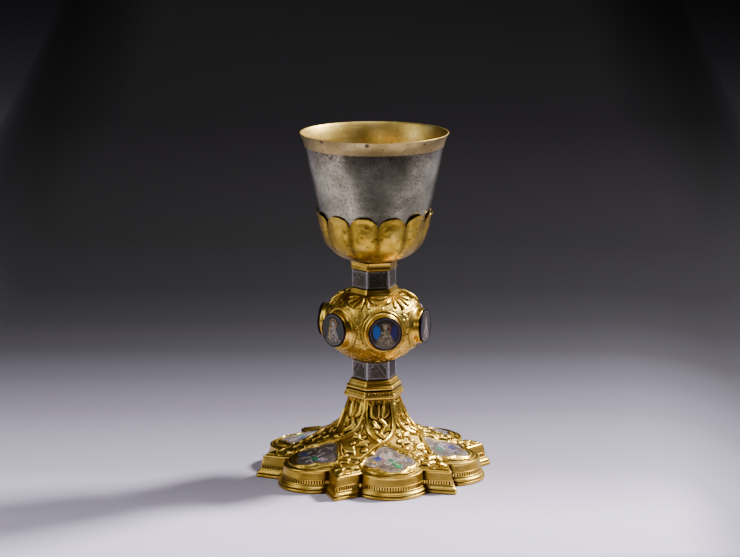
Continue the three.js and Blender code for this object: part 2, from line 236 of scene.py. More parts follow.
def addFloor():
    # a sheet of paper that lies flat and sweeps up far behind
    profile = [(-4000, 0), (1500, 0), (2100, 60), (2500, 350), (2650, 900), (2700, 2600)]
    points, faces = [], []
    for y, z in profile:
        for x in (-4500, 4500):
            points.append(tuple(fromCamera(x, y, z) / mm))
    for i in range(len(profile) - 1):
        faces.append((2 * i, 2 * i + 1, 2 * i + 3, 2 * i + 2))
    # pale paper with a painted pool of light that fades with distance
    paper, tree, shader = startMaterial("paperWithPaintedPool")
    where = addNode(tree, "ShaderNodeTexCoord").outputs["Object"]
    turnedBack = {"Vector": where, "Angle": -heading}
    turnedBack = addNode(tree, "ShaderNodeVectorRotate", turnedBack, rotation_type="Z_AXIS")
    parts = addNode(tree, "ShaderNodeSeparateXYZ", {"Vector": turnedBack.outputs["Vector"]})
    across, away = parts.outputs["X"], parts.outputs["Y"]
    far = calc(tree, "MAXIMUM", calc(tree, "SUBTRACT", away, studio["poolFar"]), 0.0)
    edge = calc(tree, "SUBTRACT", away, calc(tree, "MULTIPLY", across, studio["slant"]))
    near = calc(tree, "MINIMUM", calc(tree, "SUBTRACT", edge, studio["poolNear"]), 0.0)
    near = calc(tree, "MAXIMUM", calc(tree, "MULTIPLY", near, studio["nearFall"]), studio["nearDepth"])
    aside = {
        "Value": calc(tree, "ABSOLUTE", across),
        "From Min": studio["asideFrom"],
        "From Max": studio["asideTo"],
        "To Min": 1.0,
        "To Max": studio["asideShare"],
    }
    depth = calc(tree, "MULTIPLY", far, addNode(tree, "ShaderNodeMapRange", aside).outputs["Result"])
    depth = calc(tree, "ADD", depth, near)
    side = calc(tree, "MAXIMUM", calc(tree, "SUBTRACT", across, studio["rightEdge"]), 0.0)
    side = calc(tree, "MINIMUM", calc(tree, "MULTIPLY", side, studio["rightFall"]), studio["rightDepth"])
    flat = addNode(tree, "ShaderNodeCombineXYZ", {"X": side, "Y": depth, "Z": parts.outputs["Z"]})
    apart = addNode(tree, "ShaderNodeVectorMath", {0: flat.outputs["Vector"]}, operation="LENGTH")
    reach = studio["floor"][-1][0]
    stops = [(at / reach, colour) for at, colour in studio["floor"]]
    tone = ramp(tree, calc(tree, "DIVIDE", apart.outputs["Value"], reach), stops)
    tree.links.new(tone, shader.inputs["Base Color"])
    shader.inputs["Roughness"].default_value = 0.85
    shader.inputs["Specular IOR Level"].default_value = 0.1
    meshPiece("floor", points, faces, paper, sharp=80)


# materials


def startMaterial(name):
    material = bpy.data.materials.new(name)
    material.use_nodes = True
    tree = material.node_tree
    return material, tree, tree.nodes["Principled BSDF"]


def ramp(tree, factor, stops):
    made = addNode(tree, "ShaderNodeValToRGB", {"Fac": factor})
    marks = made.color_ramp.elements
    for position, colour in stops[1:-1]:
        marks.new(position)
    for mark, (position, colour) in zip(marks, stops):
        mark.position = position
        mark.color = linear(colour) if isinstance(colour, str) else (colour, colour, colour, 1)
    return made.outputs["Color"]


def textureOf(tree, kind, millimetres, **inputs):
    # a texture on Object coordinates whose features are about this many millimetres
    where = addNode(tree, "ShaderNodeTexCoord").outputs["Object"]
    return addNode(tree, kind, {"Vector": where, "Scale": 1 / (millimetres * mm), **inputs})


def blendColours(tree, factor, a, b):
    made = addNode(tree, "ShaderNodeMix", data_type="RGBA")
    for socket, value in ((0, factor), (6, a), (7, b)):
        if isinstance(value, bpy.types.NodeSocket):
            tree.links.new(value, made.inputs[socket])
        else:
            made.inputs[socket].default_value = linear(value) if isinstance(value, str) else value
    return made.outputs[2]


def calc(tree, kind, a, b=0.0, c=0.0):
    return addNode(tree, "ShaderNodeMath", {0: a, 1: b, 2: c}, operation=kind).outputs[0]


def fireGilding(name, tones, pits=0.55, dents=0.25, spotted=0):
    # fire-gilt silver: a warm yellow metal, softly uneven, worn paler on top, brown in its recesses from
    # patina and painted shade
    material, tree, shader = startMaterial(name)
    patinaAndShade = addNode(tree, "ShaderNodeAttribute", attribute_name="patinaAndShade").outputs["Fac"]
    broad = textureOf(tree, "ShaderNodeTexNoise", 9, Detail=3.0).outputs["Fac"]
    fine = textureOf(tree, "ShaderNodeTexNoise", 1.1, Detail=4.0, Roughness=0.65).outputs["Fac"]
    tone = ramp(tree, broad, list(zip((0.3, 0.52, 0.75), tones)))
    specks = ramp(tree, fine, [(0.6, 0.0), (0.68, pits), (1.0, pits)])
    tone = blendColours(tree, specks, tone, "#8A6424")
    if spotted:
        spots = textureOf(tree, "ShaderNodeTexVoronoi", 3.0).outputs["Distance"]
        spots = calc(tree, "ADD", spots, calc(tree, "MULTIPLY", broad, 0.55))
        marks = ramp(tree, spots, [(0.0, spotted), (0.41, spotted), (0.5, 0.0)])
        tone = blendColours(tree, marks, tone, "#4E2F16")
    uneven = calc(tree, "MULTIPLY_ADD", fine, 0.5, -0.22)
    uneven = calc(tree, "MULTIPLY", uneven, ramp(tree, patinaAndShade, [(0.0, 0.0), (0.4, 1.0)]))
    hidden = ramp(tree, calc(tree, "ADD", patinaAndShade, uneven), [(0.25, 0.0), (0.8, 1.0), (1.0, 1.0)])
    tone = blendColours(tree, hidden, tone, "#3E2A0C")
    tree.links.new(tone, shader.inputs["Base Color"])
    shader.inputs["Metallic"].default_value = 1.0
    rough = calc(tree, "MULTIPLY_ADD", hidden, 0.3, 0.26)
    tree.links.new(calc(tree, "ADD", rough, calc(tree, "MULTIPLY", broad, 0.1)), shader.inputs["Roughness"])
    hammered = textureOf(tree, "ShaderNodeTexNoise", 4, Detail=1.0).outputs["Fac"]
    relief = calc(tree, "ADD", calc(tree, "MULTIPLY", hammered, dents), calc(tree, "MULTIPLY", fine, 0.05))
    bump = addNode(tree, "ShaderNodeBump", {"Height": relief, "Strength": 0.5, "Distance": 0.4 * mm})
    tree.links.new(bump.outputs["Normal"], shader.inputs["Normal"])
    return material


def tarnishedSilver():
    # thin silver sheet under a grey-brown tarnish, with a worn gilt lip and gilding inside
    material, tree, shader = startMaterial("tarnishedSilver")
    gilt = addNode(tree, "ShaderNodeAttribute", attribute_name="gilding").outputs["Fac"]
    patinaAndShade = addNode(tree, "ShaderNodeAttribute", attribute_name="patinaAndShade").outputs["Fac"]
    clouds = textureOf(tree, "ShaderNodeTexNoise", 16, Detail=5.0, Roughness=0.6).outputs["Fac"]
    fine = textureOf(tree, "ShaderNodeTexNoise", 1.6, Detail=5.0, Roughness=0.7).outputs["Fac"]
    spots = textureOf(tree, "ShaderNodeTexVoronoi", 2.6).outputs["Distance"]
    bare = ramp(tree, clouds, [(0.32, "#79785F"), (0.5, "#9C9A80"), (0.66, "#BCB89C")])
    speckled = ramp(tree, fine, [(0.52, 0.0), (0.62, 0.75), (1.0, 0.9)])
    bare = blendColours(tree, speckled, bare, "#63584E")
    gold = ramp(tree, clouds, [(0.3, "#A6893A"), (0.55, "#C4A655"), (0.75, "#DCC37E")])
    tone = blendColours(tree, gilt, bare, gold)
    # tarnish stains, and painted shade just above the calyx, from the bowl's attribute
    stainAndShade = calc(tree, "MULTIPLY", patinaAndShade, ramp(tree, fine, [(0.3, 0.35), (0.62, 1.0), (1.0, 1.0)]))
    tone = blendColours(tree, stainAndShade, tone, "#4A3B30")
    spots = calc(tree, "ADD", spots, calc(tree, "MULTIPLY", clouds, 0.5))
    dots = ramp(tree, spots, [(0.0, 1.0), (0.35, 1.0), (0.43, 0.0)])
    tone = blendColours(tree, calc(tree, "MULTIPLY", dots, 0.6), tone, "#3A2B26")
    tree.links.new(tone, shader.inputs["Base Color"])
    shader.inputs["Metallic"].default_value = 1.0
    dull = calc(tree, "MULTIPLY_ADD", fine, 0.26, 0.1)
    tree.links.new(calc(tree, "ADD", dull, calc(tree, "MULTIPLY", gilt, 0.2)), shader.inputs["Roughness"])
    relief = calc(tree, "ADD", calc(tree, "MULTIPLY", clouds, 0.8), calc(tree, "MULTIPLY", fine, 0.08))
    bump = addNode(tree, "ShaderNodeBump", {"Height": relief, "Strength": 0.5, "Distance": 0.5 * mm})
    tree.links.new(bump.outputs["Normal"], shader.inputs["Normal"])
    return material


def engravedSilver():
    # silver panels gone nearly black, their engraved lines and edges rubbed bright
    material, tree, shader = startMaterial("engravedSilver")
    rubbed = addNode(tree, "ShaderNodeAttribute", attribute_name="rubbed").outputs["Fac"]
    fine = textureOf(tree, "ShaderNodeTexNoise", 0.8, Detail=4.0, Roughness=0.7).outputs["Fac"]
    dark = ramp(tree, fine, [(0.35, "#2F2920"), (0.55, "#4B4438"), (0.75, "#786F60")])
    bright = ramp(tree, fine, [(0.3, "#9A9492"), (0.6, "#C9C4C2")])
    tree.links.new(blendColours(tree, rubbed, dark, bright), shader.inputs["Base Color"])
    shader.inputs["Metallic"].default_value = 0.9
    tree.links.new(ramp(tree, fine, [(0.3, 0.28), (0.8, 0.5)]), shader.inputs["Roughness"])
    bump = addNode(tree, "ShaderNodeBump", {"Height": fine, "Strength": 0.3, "Distance": 0.2 * mm})
    tree.links.new(bump.outputs["Normal"], shader.inputs["Normal"])
    return material


def enamelOnSilver():
    # worn translucent enamel fused on engraved silver: glassy where it is left, dull metal where lost
    material, tree, shader = startMaterial("enamelOnSilver")
    paint = addNode(tree, "ShaderNodeAttribute", attribute_name="paint").outputs["Color"]
    metal = addNode(tree, "ShaderNodeAttribute", attribute_name="metal").outputs["Fac"]
    fine = textureOf(tree, "ShaderNodeTexNoise", 0.9, Detail=4.0, Roughness=0.7).outputs["Fac"]
    worn = ramp(tree, fine, [(0.45, 0.0), (0.65, 0.2), (0.85, 0.4)])
    dulled = blendColours(tree, worn, paint, "#5E5450")
    tree.links.new(blendColours(tree, metal, dulled, paint), shader.inputs["Base Color"])
    tree.links.new(metal, shader.inputs["Metallic"])
    tree.links.new(ramp(tree, fine, [(0.3, 0.28), (0.75, 0.55)]), shader.inputs["Roughness"])
    shader.inputs["Specular IOR Level"].default_value = 0.3
    bump = addNode(tree, "ShaderNodeBump", {"Height": fine, "Strength": 0.35, "Distance": 0.2 * mm})
    tree.links.new(bump.outputs["Normal"], shader.inputs["Normal"])
    return material


addLights()
addFloor()
print("camera, floor and light")

gilding = fireGilding("fireGilding", ("#C29A33", "#D5AF45", "#E4C565"))
pittedGilding = fireGilding("pittedGilding", ("#A1821F", "#BB9A30", "#D2B64C"), 0.95, 0.4, 0.75)
bowlSilver = tarnishedSilver()
panelSilver = engravedSilver()
enamel = enamelOnSilver()
print("materials")


# chased relief: strokes laid on a surface


def curveThrough(points, samples=8):
    # a smooth curve through control points of any dimension
    p = np.asarray(points, dtype=float)
    p = np.vstack([2 * p[0] - p[1], p, 2 * p[-1] - p[-2]])
    t = np.linspace(0, 1, samples, endpoint=False)[:, None]
    parts = []
    for i in range(1, len(p) - 2):
        a, b, c, d = p[i - 1 : i + 3]
        squared, cubed = 2 * a - 5 * b + 4 * c - d, 3 * b - a - 3 * c + d
        parts.append(0.5 * (2 * b + (c - a) * t + squared * t**2 + cubed * t**3))
    return np.vstack(parts + [p[-2:-1]])


def strokeShare(points, line, halves):
    # how far each point is from a line, in its own half widths
    best = np.full(len(points), 9.0)
    reach = halves.max() * 1.6
    low, high = line.min(0) - reach, line.max(0) + reach
    near = np.nonzero(((points > low) & (points < high)).all(1))[0]
    if len(near):
        some = points[near]
        for spot, half in zip(line, halves):
            share = np.sqrt(((some - spot) ** 2).sum(1)) / half
            best[near] = np.minimum(best[near], share)
    return best


def leaf(at, heading, length, half, tall=1.0, bend=0.35):
    # a pointed leaf that curls a little, with two small side lobes on a broad one
    def along(start, angle, run, curl):
        path = [start]
        for share in (0.4, 0.75, 1.0):
            turn = angle + curl * share
            path.append((start[0] + run * share * math.sin(turn), start[1] + run * share * math.cos(turn)))
        return path

    middle = along(at, heading, length, bend)
    made = [(middle, [0.45 * half, half, 0.8 * half, 0.25 * half], tall)]
    if half > 1.25:
        for side in (-1, 1):
            lobe = along(middle[1], heading + side * 0.95, 0.5 * length, side * 0.4)
            made.append((lobe, [0.5 * half, 0.55 * half, 0.2 * half], 0.85 * tall))
    return made


def berry(at, radius, tall=1.0):
    return [([at], [radius, radius], tall)]


def carve(points, surface, strokes, height, samples=5):
    # height of relief at points for strokes given in the surface's own millimetres, and the nearest
    # stroke's distance in its half widths
    relief = np.zeros(len(points))
    nearest = np.full(len(points), 9.0)
    for path, widths, tall in strokes:
        if len(path) == 1:
            path = [path[0], (path[0][0] + 0.05, path[0][1])]
        line = surface(curveThrough(path, samples))
        halves = np.interp(np.linspace(0, 1, len(line)), np.linspace(0, 1, len(widths)), widths)
        share = strokeShare(points, line, halves)
        bulge = np.sqrt(np.clip(1 - share ** (3 if len(widths) > 3 else 2), 0, 1)) * max(widths) ** 0.5
        if len(widths) > 3:  # a leaf's sunk vein
            bulge = bulge * (1 - 0.3 * np.exp(-((share / 0.28) ** 2)))
        relief = np.maximum(relief, bulge * height * tall)
        nearest = np.minimum(nearest, share)
    return relief, nearest


def patinaAndShadowBy(nearest, ground):
    # brown patina in the ground, and painted shadow, darkest along the foot of a stroke
    beside = (0.95 - ground) * smooth(0.8, 1.02, nearest) * smooth(1.45, 1.1, nearest)
    return ground * smooth(0.75, 1.0, nearest) + beside


# foot

footSize = {
    "lobeCentre": 47.2,
    "lobeRadius": 19.3,
    "cornerReach": 69.0,
    "cornerHalfAngle": 36.0,
    "notch": 19.4,  # degrees from a lobe's middle
    "cornerSpread": 1.35,
    "wallTop": 13.1,
    "neckTop": 48.3,
    "neckCorner": 15.6,
    "sheet": 1.6,
    "hollowNeck": 12.0,
    "sweepScale": 470.0,
    "sweepAxis": 4.5,
    "plaqueCentre": 46.0,
    "seam": 0.3,  # share of the way out where the neck's piece meets the lobes'
    "neckColumns": 40,  # in half a lobe's sector
    "lobeColumns": 62,
    "ringRadius": 16.2,  # of the raised line round a lobe
    "neckRelief": 1.15,
    "vineRelief": 0.85,
    "frameRelief": 0.6,
}
# outline of the edge moulding: [offset from the wall, height]
edgeProfile = [
    (2.9, 0.0),
    (3.25, 0.25),
    (3.5, 0.9),
    (3.45, 1.5),
    (3.1, 1.9),
    (2.75, 2.1),
    (2.7, 2.35),
    (2.95, 2.6),
    (3.05, 3.1),
    (2.75, 3.55),
    (2.3, 3.9),
    (2.0, 4.3),
    (1.75, 4.65),
    (1.7, 4.95),
    (1.6, 5.2),
    (1.45, 5.35),
    (0.5, 5.5),
    (0.45, 7.3),
    (1.15, 7.45),
    (1.3, 7.65),
    (1.25, 7.95),
    (0.9, 8.1),
    (0.75, 9.0),
    (0.5, 10.5),
    (0.25, 11.8),
    (0.2, 12.2),
    (0.35, 12.5),
    (0.3, 12.95),
    (0.05, 13.2),
]
cornerTurn = sector / 2
cornerSlope = math.radians(footSize["cornerHalfAngle"])


def fromLobe(bearing):
    return np.abs(bearing - sector * np.round(bearing / sector))


def outline(bearing, offset):
    turn = fromLobe(bearing)
    radius = footSize["lobeRadius"] + offset
    sine = footSize["lobeCentre"] * np.sin(turn)
    lobe = footSize["lobeCentre"] * np.cos(turn) + np.sqrt(np.clip(radius**2 - sine**2, 0, None))
    lobe = np.where(sine < radius, lobe, 0)
    dx, dy = -math.sin(cornerTurn + cornerSlope), -math.cos(cornerTurn + cornerSlope)
    px = footSize["cornerReach"] * math.sin(cornerTurn) + offset * dy
    py = footSize["cornerReach"] * math.cos(cornerTurn) - offset * dx
    corner = (px * dy - py * dx) / (np.sin(turn) * dy - np.cos(turn) * dx)
    tip = footSize["cornerReach"] + footSize["cornerSpread"] * offset
    blunt = 0.5  # a soft change from side to tip
    corner = -blunt * np.logaddexp(-corner / blunt, -tip / blunt)
    return np.maximum(lobe, np.where(turn > sector / 8, corner, 0))


def sweepHeight(bearing, reach):
    turn = fromLobe(bearing)
    hexagon = math.cos(sector / 2) / np.cos(turn)
    plan = mix(hexagon, 1.0, smooth(footSize["neckCorner"], 30, reach))
    outermost = footSize["cornerReach"] - footSize["sweepAxis"]
    base = footSize["wallTop"] + 0.6 - footSize["sweepScale"] / outermost
    free = base + footSize["sweepScale"] / (reach / plan - footSize["sweepAxis"])
    inward = outline(bearing, 0) - reach
    return footSize["wallTop"] + (free - footSize["wallTop"]) * smooth(-1, 9, inward)


def footPoints(bearing, reach):
    return polar(bearing, reach, sweepHeight(bearing, reach))


def footNormals(bearing, reach):
    step = 0.15
    run = footPoints(bearing, reach + step) - footPoints(bearing, reach - step)
    turn = footPoints(bearing + step / reach, reach) - footPoints(bearing - step / reach, reach)
    normal = np.cross(run, turn)
    return normal / np.linalg.norm(normal, axis=-1, keepdims=True)


# distance down the slope from the neck's top, and back to the reach there
slopeReach = np.linspace(13.6, 70, 400)
slopeHeight = sweepHeight(0 * slopeReach, slopeReach)
slopeRun = np.concatenate([[0], np.cumsum(np.hypot(np.diff(slopeReach), np.diff(slopeHeight)))])
slopeRun -= np.interp(16, slopeReach, slopeRun)


def chart(base):
    # (u, v) millimetres across and down the slope, about a bearing, to a point on the foot
    def toSurface(uv):
        reach = np.interp(uv[:, 1], slopeRun, slopeReach)
        return footPoints(base + uv[:, 0] / reach, reach)

    return toSurface


# circles whose union is the quatrefoil: [across, towards the rim, radius]
foilCircles = [
    (0, -5.6, 7.6), (0, 5.8, 7.8), (-7.6, -0.2, 7.0), (7.6, -0.2, 7.0), (-12.6, -0.2, 2.7),
    (12.6, -0.2, 2.7),
]


def foilDistance(x, y):
    # millimetres outside the quatrefoil, with y away from the chalice's axis
    parts = [np.hypot(x - cx, y - cy) - radius for cx, cy, radius in foilCircles]
    return np.min(parts, axis=0)


def foilReach(angle):
    # distance from the quatrefoil's middle to its edge
    reach = np.full(angle.shape, 30.0)
    for _ in range(24):
        reach = reach - foilDistance(reach * np.sin(angle), reach * np.cos(angle)) * 0.9
    return reach


# a band runs down a side of the oval, over the other and on round the enamel
bandPath = [
    (7.5, -2.6),
    (8.4, 1.2),
    (8.9, 5.0),
    (8.7, 9.0),
    (7.6, 12.7),
    (5.4, 16.2),
    (2.7, 19.0),
    (0.0, 21.0),
    (-3.4, 23.3),
    (-6.7, 26.1),
    (-9.9, 29.8),
    (-13.4, 33.4),
    (-16.0, 36.6),
]
bandHalf = 1.45
bandCrossing = (0.0, 21.0)


def bandRelief(points, surface):
    relief = np.zeros(len(points))
    edge = np.zeros(len(points))
    crossing = surface(np.array([bandCrossing]))[0]
    for side in (1, -1):
        path = [(side * u, v) for u, v in bandPath]
        line = surface(curveThrough(path, 14))
        share = strokeShare(points, line, np.full(len(line), bandHalf))
        height = 1.55 * smooth(1.0, 0.8, share) - 0.3 * smooth(0.8, 0.2, share)
        if side == -1:
            # this band dips under the other
            apart = np.linalg.norm(points - crossing, axis=1)
            height = height * mix(0.3, 1, smooth(1.8, 4.6, apart))
            height = np.where(relief > 0.5, 0, height)
        relief = np.maximum(relief, height)
        # the band's foot, where painted shadow goes
        edge = np.maximum(edge, smooth(1.4, 1.05, share) * smooth(0.9, 1.0, share))
    return relief, edge


def neckStrokes():
    # a leafy beast in each pointed oval: two wings, a curling body and cusped leaves
    made = [
        ([(-2.4, 3.2), (-3.7, 1.4), (-3.9, -1.6)], [1.5, 2.9, 2.4], 0.75),
        ([(2.6, 2.8), (3.9, 0.8), (4.1, -2.0)], [1.4, 2.8, 2.3], 0.75),
        ([(0.1, -4.6), (0.2, -1.0), (-0.4, 2.6)], [0.8, 1.0, 0.9], 1.1),
        ([(0.6, 4.4), (2.4, 7.0), (2.8, 9.0), (0.9, 11.4), (-0.9, 13.8), (0.4, 16.4)], [1.4, 1.8, 1.6], 1.3),
    ]
    made += leaf((-0.8, 9.6), -2.0, 5.6, 1.7, 1.0, -0.5)
    made += leaf((-1.0, 14.2), -2.1, 3.8, 1.15, 0.9, -0.4)
    made += leaf((2.9, 11.6), 2.1, 4.2, 1.4, 0.95, 0.5)
    made += berry((-3.4, -4.4), 1.2) + berry((3.6, -4.6), 1.1)
    return made


def vineStrokes(random):
    # between two lobes: a leaf under the collar's corner, then a waving stem with leaves and berries
    flip = random.choice([-1, 1])

    def near(u, v):
        return (flip * u + random.uniform(-0.35, 0.35), v + random.uniform(-0.4, 0.4))

    made = leaf((0, -6.5), 0, 8.0, 2.1, 1.05, 0)
    made += leaf((-1.2, -6.0), -0.6, 5.6, 1.2, 0.95) + leaf((1.2, -6.0), 0.6, 5.6, 1.2, 0.95)
    stem = [(0, 56), (0.3, 50), (-0.9, 45), (1.0, 39), (-0.9, 33), (1.2, 27), (-1.0, 21), (0.7, 15.5), (0, 9)]
    made.append(([near(u, v) for u, v in stem], [0.8, 0.7, 0.6], 0.9))
    made += leaf(near(0, 12.6), math.pi, 4.8, 1.1)
    # [stalk across, down, leaf's turn from straight up, its length and half width]
    leaves = [
        (0.6, 17.4, -0.9, 5.4, 2.1),
        (-0.9, 23.4, 0.95, 6.6, 2.6),
        (1.1, 29.4, -1.0, 7.2, 2.8),
        (-0.8, 35.4, 1.1, 6.4, 2.5),
        (0.9, 41.4, -1.1, 6.4, 2.5),
        (-0.8, 47.2, 1.15, 7.0, 2.6),
        (0.4, 50.8, -1.25, 7.4, 2.5),
        (0.0, 53.6, 2.2, 6.4, 2.1),
        (0.0, 54.0, 3.14, 7.6, 2.4),
    ]
    for u, v, turn, length, half in leaves:
        heading = math.pi + flip * turn + random.uniform(-0.15, 0.15)
        made += leaf(near(u, v), heading, length, half, 1.0, 0.3 * flip * np.sign(turn))
    berries = [
        (-2.8, 16.6, 1.5), (3.8, 21.6, 1.8), (-5.0, 27.4, 2.3), (4.6, 33.6, 1.9), (-4.6, 40.2, 1.9),
        (5.2, 45.4, 2.0), (-5.4, 52.0, 1.6), (5.6, 27.6, 1.3),
    ]
    for u, v, radius in berries:
        made += berry(near(u, v), radius, 0.8)
    return made


def frameStrokes():
    # small leaves between the quatrefoil and the ring round a lobe, in the lobe's own (u, v)
    made = []
    for side in (-1, 1):
        for u, v, turn in ((11.6, 54.6, 0.9), (8.6, 57.0, 0.6), (14.2, 51.4, 1.2), (13.4, 41.0, 2.4)):
            made += leaf((side * u, v), side * turn, 3.0, 0.9)
            made += leaf((side * (u - 0.6), v + 0.4), side * (turn - 1.1), 2.4, 0.7)
    return made


def sectorTurns(half):
    # bearings across one lobe's sector, closer together on the lobe than on the corner
    notch = math.radians(footSize["notch"])
    onLobe = half * 7 // 10
    oneSide = np.linspace(0, 1, onLobe, endpoint=False) * notch
    rest = notch + (cornerTurn - notch) * np.linspace(0, 1, half - onLobe, endpoint=False)
    oneSide = np.concatenate([oneSide, rest])
    return np.concatenate([[-cornerTurn], -oneSide[:0:-1], oneSide])


def allBearings(turns):
    bearing = np.concatenate([k * sector + turns for k in range(lobes)])
    neck = footSize["neckCorner"] * math.cos(sector / 2) / np.cos(np.tile(turns, lobes))
    return bearing, neck


def carvedTop(turns, shares):
    # the carved upper surface and its patina, by share of the way from the neck to the edge
    count = len(turns)
    topRows = []
    patinaAndShadeRows = []
    for k in range(lobes):
        bearing = k * sector + turns
        neck = footSize["neckCorner"] * math.cos(sector / 2) / np.cos(turns)
        reach = mix(neck[None, :], outline(bearing, 0)[None, :], shares[:, None])
        both = np.broadcast_to(bearing, reach.shape)
        points = footPoints(both, reach)
        flat = points.reshape(-1, 3)
        turn = np.broadcast_to(turns, reach.shape).ravel()
        across = reach.ravel() * np.sin(turn)
        along = reach.ravel() * np.cos(turn)
        inward = outline(both, 0).ravel() - reach.ravel()
        foil = foilDistance(across, along - footSize["plaqueCentre"])
        ring = np.hypot(across, along - footSize["lobeCentre"]) - footSize["ringRadius"]
        below = smooth(40, 47, along)
        widened = mix(2.3, 3.0, smooth(-11, -4, along - footSize["plaqueCentre"]))
        framed = np.minimum(foil - widened, mix(30, ring, below))  # under 0 inside the frame
        # neck, vines on both sides, and the small leaves in the frame
        relief, nearest = carve(flat, chart(k * sector), neckStrokes(), footSize["neckRelief"])
        for side in (-0.5, 0.5):
            seed = np.random.RandomState(int(70 + (k + side + 0.5) % lobes))
            vines = vineStrokes(seed)
            vine, byVine = carve(flat, chart((k + side) * sector), vines, footSize["vineRelief"])
            relief = np.maximum(relief, np.where(framed > 0.2, vine, 0))
            nearest = np.minimum(nearest, byVine)
        small, bySmall = carve(flat, chart(k * sector), frameStrokes(), footSize["frameRelief"])
        # patina in the ground, and painted shadow along the foot of each stroke
        patinaAndShade = patinaAndShadowBy(nearest, 0.5)
        # the frame: a smooth border round the enamel, a raised line outside it, leaves where they part
        border = smooth(0.25, 0.9, foil) * smooth(2.3, 1.9, foil)
        line = smooth(0.8, 0.3, np.abs(framed + 0.4)) * below
        inFrame = framed < 0.1
        gap = smooth(2.2, 2.6, foil) * smooth(-0.8, -1.1, framed)
        relief = np.where(inFrame, np.maximum(0.75 * border, 0.15 + small * gap), relief)
        relief = np.maximum(relief, 1.05 * line)
        relief *= smooth(1.2, 2.4, inward)
        patinaAndShade = np.where(inFrame, gap * patinaAndShadowBy(bySmall, 0.4), patinaAndShade)
        # painted shadow along the outside of the raised line
        beside = 0.6 * smooth(0.8, 0.3, np.abs(framed - 0.7)) * (relief < 0.5)
        patinaAndShade = np.where(line > 0.4, 0, np.maximum(patinaAndShade, beside))
        bands, edges = bandRelief(flat, chart(k * sector))
        onBand = (bands > 0.3) & (foil > 0.5)
        bands *= smooth(0.2, 0.9, foil)
        relief = np.where(onBand, bands, np.maximum(relief, bands))
        # painted shadow along the bands' edges
        patinaAndShade = np.where(onBand, 0, np.maximum(patinaAndShade, 0.85 * edges * (framed > 0.3)))
        # the seat of the enamel, and the bead along the wall's top
        relief = np.where(foil < 0.25, -0.35, relief)
        bead = 0.45 * np.sqrt(np.clip(1 - ((inward - 0.75) / 0.75) ** 2, 0, 1))
        relief = np.where(inward < 1.5, bead, relief)
        # painted shadow just inside the bead along the wall's top
        patinaAndShade = np.where(inward < 1.4, 0, np.maximum(patinaAndShade, 0.85 * smooth(0.6, 0.1, np.abs(inward - 1.9))))
        # the carving lies partly in the sheet of the neck
        relief -= 0.9 * smooth(33, 24, reach.ravel())
        normals = footNormals(both.ravel(), reach.ravel())
        grain = wobble(flat, 0.7, 3) * 0.09 * (patinaAndShade > 0.3)
        fade = smooth(-0.01, 0.03, 1 - np.repeat(shares, count))
        flat = flat + normals * (relief * fade + grain)[:, None]
        topRows.append(flat.reshape(len(shares), count, 3))
        patinaAndShadeRows.append(patinaAndShade.reshape(len(shares), count))
    return np.concatenate(topRows, 1), np.concatenate(patinaAndShadeRows, 1)


def underside(turns, share):
    bearing, neck = allBearings(turns)
    reach = mix(neck, outline(bearing, 0), share)
    return footPoints(bearing, reach) - footNormals(bearing, reach) * footSize["sheet"]


def buildNeck():
    turns = sectorTurns(footSize["neckColumns"])
    bearing, _ = allBearings(turns)
    shares = np.linspace(footSize["seam"], 0, 112)
    # one more row passes just under the lobes' piece
    shares = np.concatenate([[shares[0] + 0.006], shares])
    top, patinaAndShade = carvedTop(turns, shares)
    top[0] -= [0, 0, 0.08]
    top[-1, :, 2] = footSize["neckTop"]
    hole = polar(bearing, 0 * bearing + footSize["hollowNeck"], footSize["neckTop"])
    below = [underside(turns, share) for share in (0.12, 0.2, footSize["seam"])]
    grid = np.concatenate([top, [hole], below])
    patinaAndShade = np.concatenate([patinaAndShade, np.full((4, len(bearing)), 0.3)])
    piece = roundPiece("foot_neck", grid, gilding, {"patinaAndShade": patinaAndShade}, loop=True, sharp=55)
    place(piece, "gilt", "foot")


def buildLobes():
    turns = sectorTurns(footSize["lobeColumns"])
    bearing, _ = allBearings(turns)
    shares = np.linspace(1, footSize["seam"], 92)
    shares = np.concatenate([shares, [shares[-1] - 0.008]])
    top, patinaAndShade = carvedTop(turns, shares)
    top[-1] -= [0, 0, 0.08]
    inner = outline(bearing, -footSize["sheet"])
    rows = [underside(turns, share) for share in (footSize["seam"] - 0.008, 0.5, 0.75, 0.9)]
    rows += [polar(bearing, inner, footSize["wallTop"] - 2.4), polar(bearing, inner, 0)]
    first = len(rows)
    rows += [polar(bearing, outline(bearing, offset), z) for offset, z in edgeProfile]
    grid = np.concatenate([np.stack(rows), top])
    shade = np.zeros((len(rows), len(bearing)))
    shade[:first] = 0.35
    # patina and painted shade of the edge moulding, by its points' heights, darkest on the strip behind the
    # posts
    dark = {
        0.0: 0.7, 0.25: 0.5, 1.5: 0.2, 1.9: 0.6, 2.1: 0.85, 2.35: 0.75, 2.6: 0.2, 3.9: 0.25,
        4.3: 0.35, 4.65: 0.55, 4.95: 0.65, 5.35: 0.6, 5.5: 1, 7.3: 1, 8.1: 0.5,
    }
    for i, (_, z) in enumerate(edgeProfile):
        shade[first + i] = dark.get(z, 0)
    # painted shade in the notches between lobes and corners
    inNotch = smooth(3.2, 0.6, np.abs(fromLobe(bearing) - math.radians(footSize["notch"])) * 55)
    shade[first:] = np.maximum(shade[first:], 0.8 * inNotch[None, :])
    patinaAndShade = np.concatenate([shade, patinaAndShade])
    piece = roundPiece("foot_lobes", grid, gilding, {"patinaAndShade": patinaAndShade}, loop=True, sharp=55)
    place(piece, "gilt", "foot")


buildNeck()
buildLobes()
print("foot")


# enamels on the foot


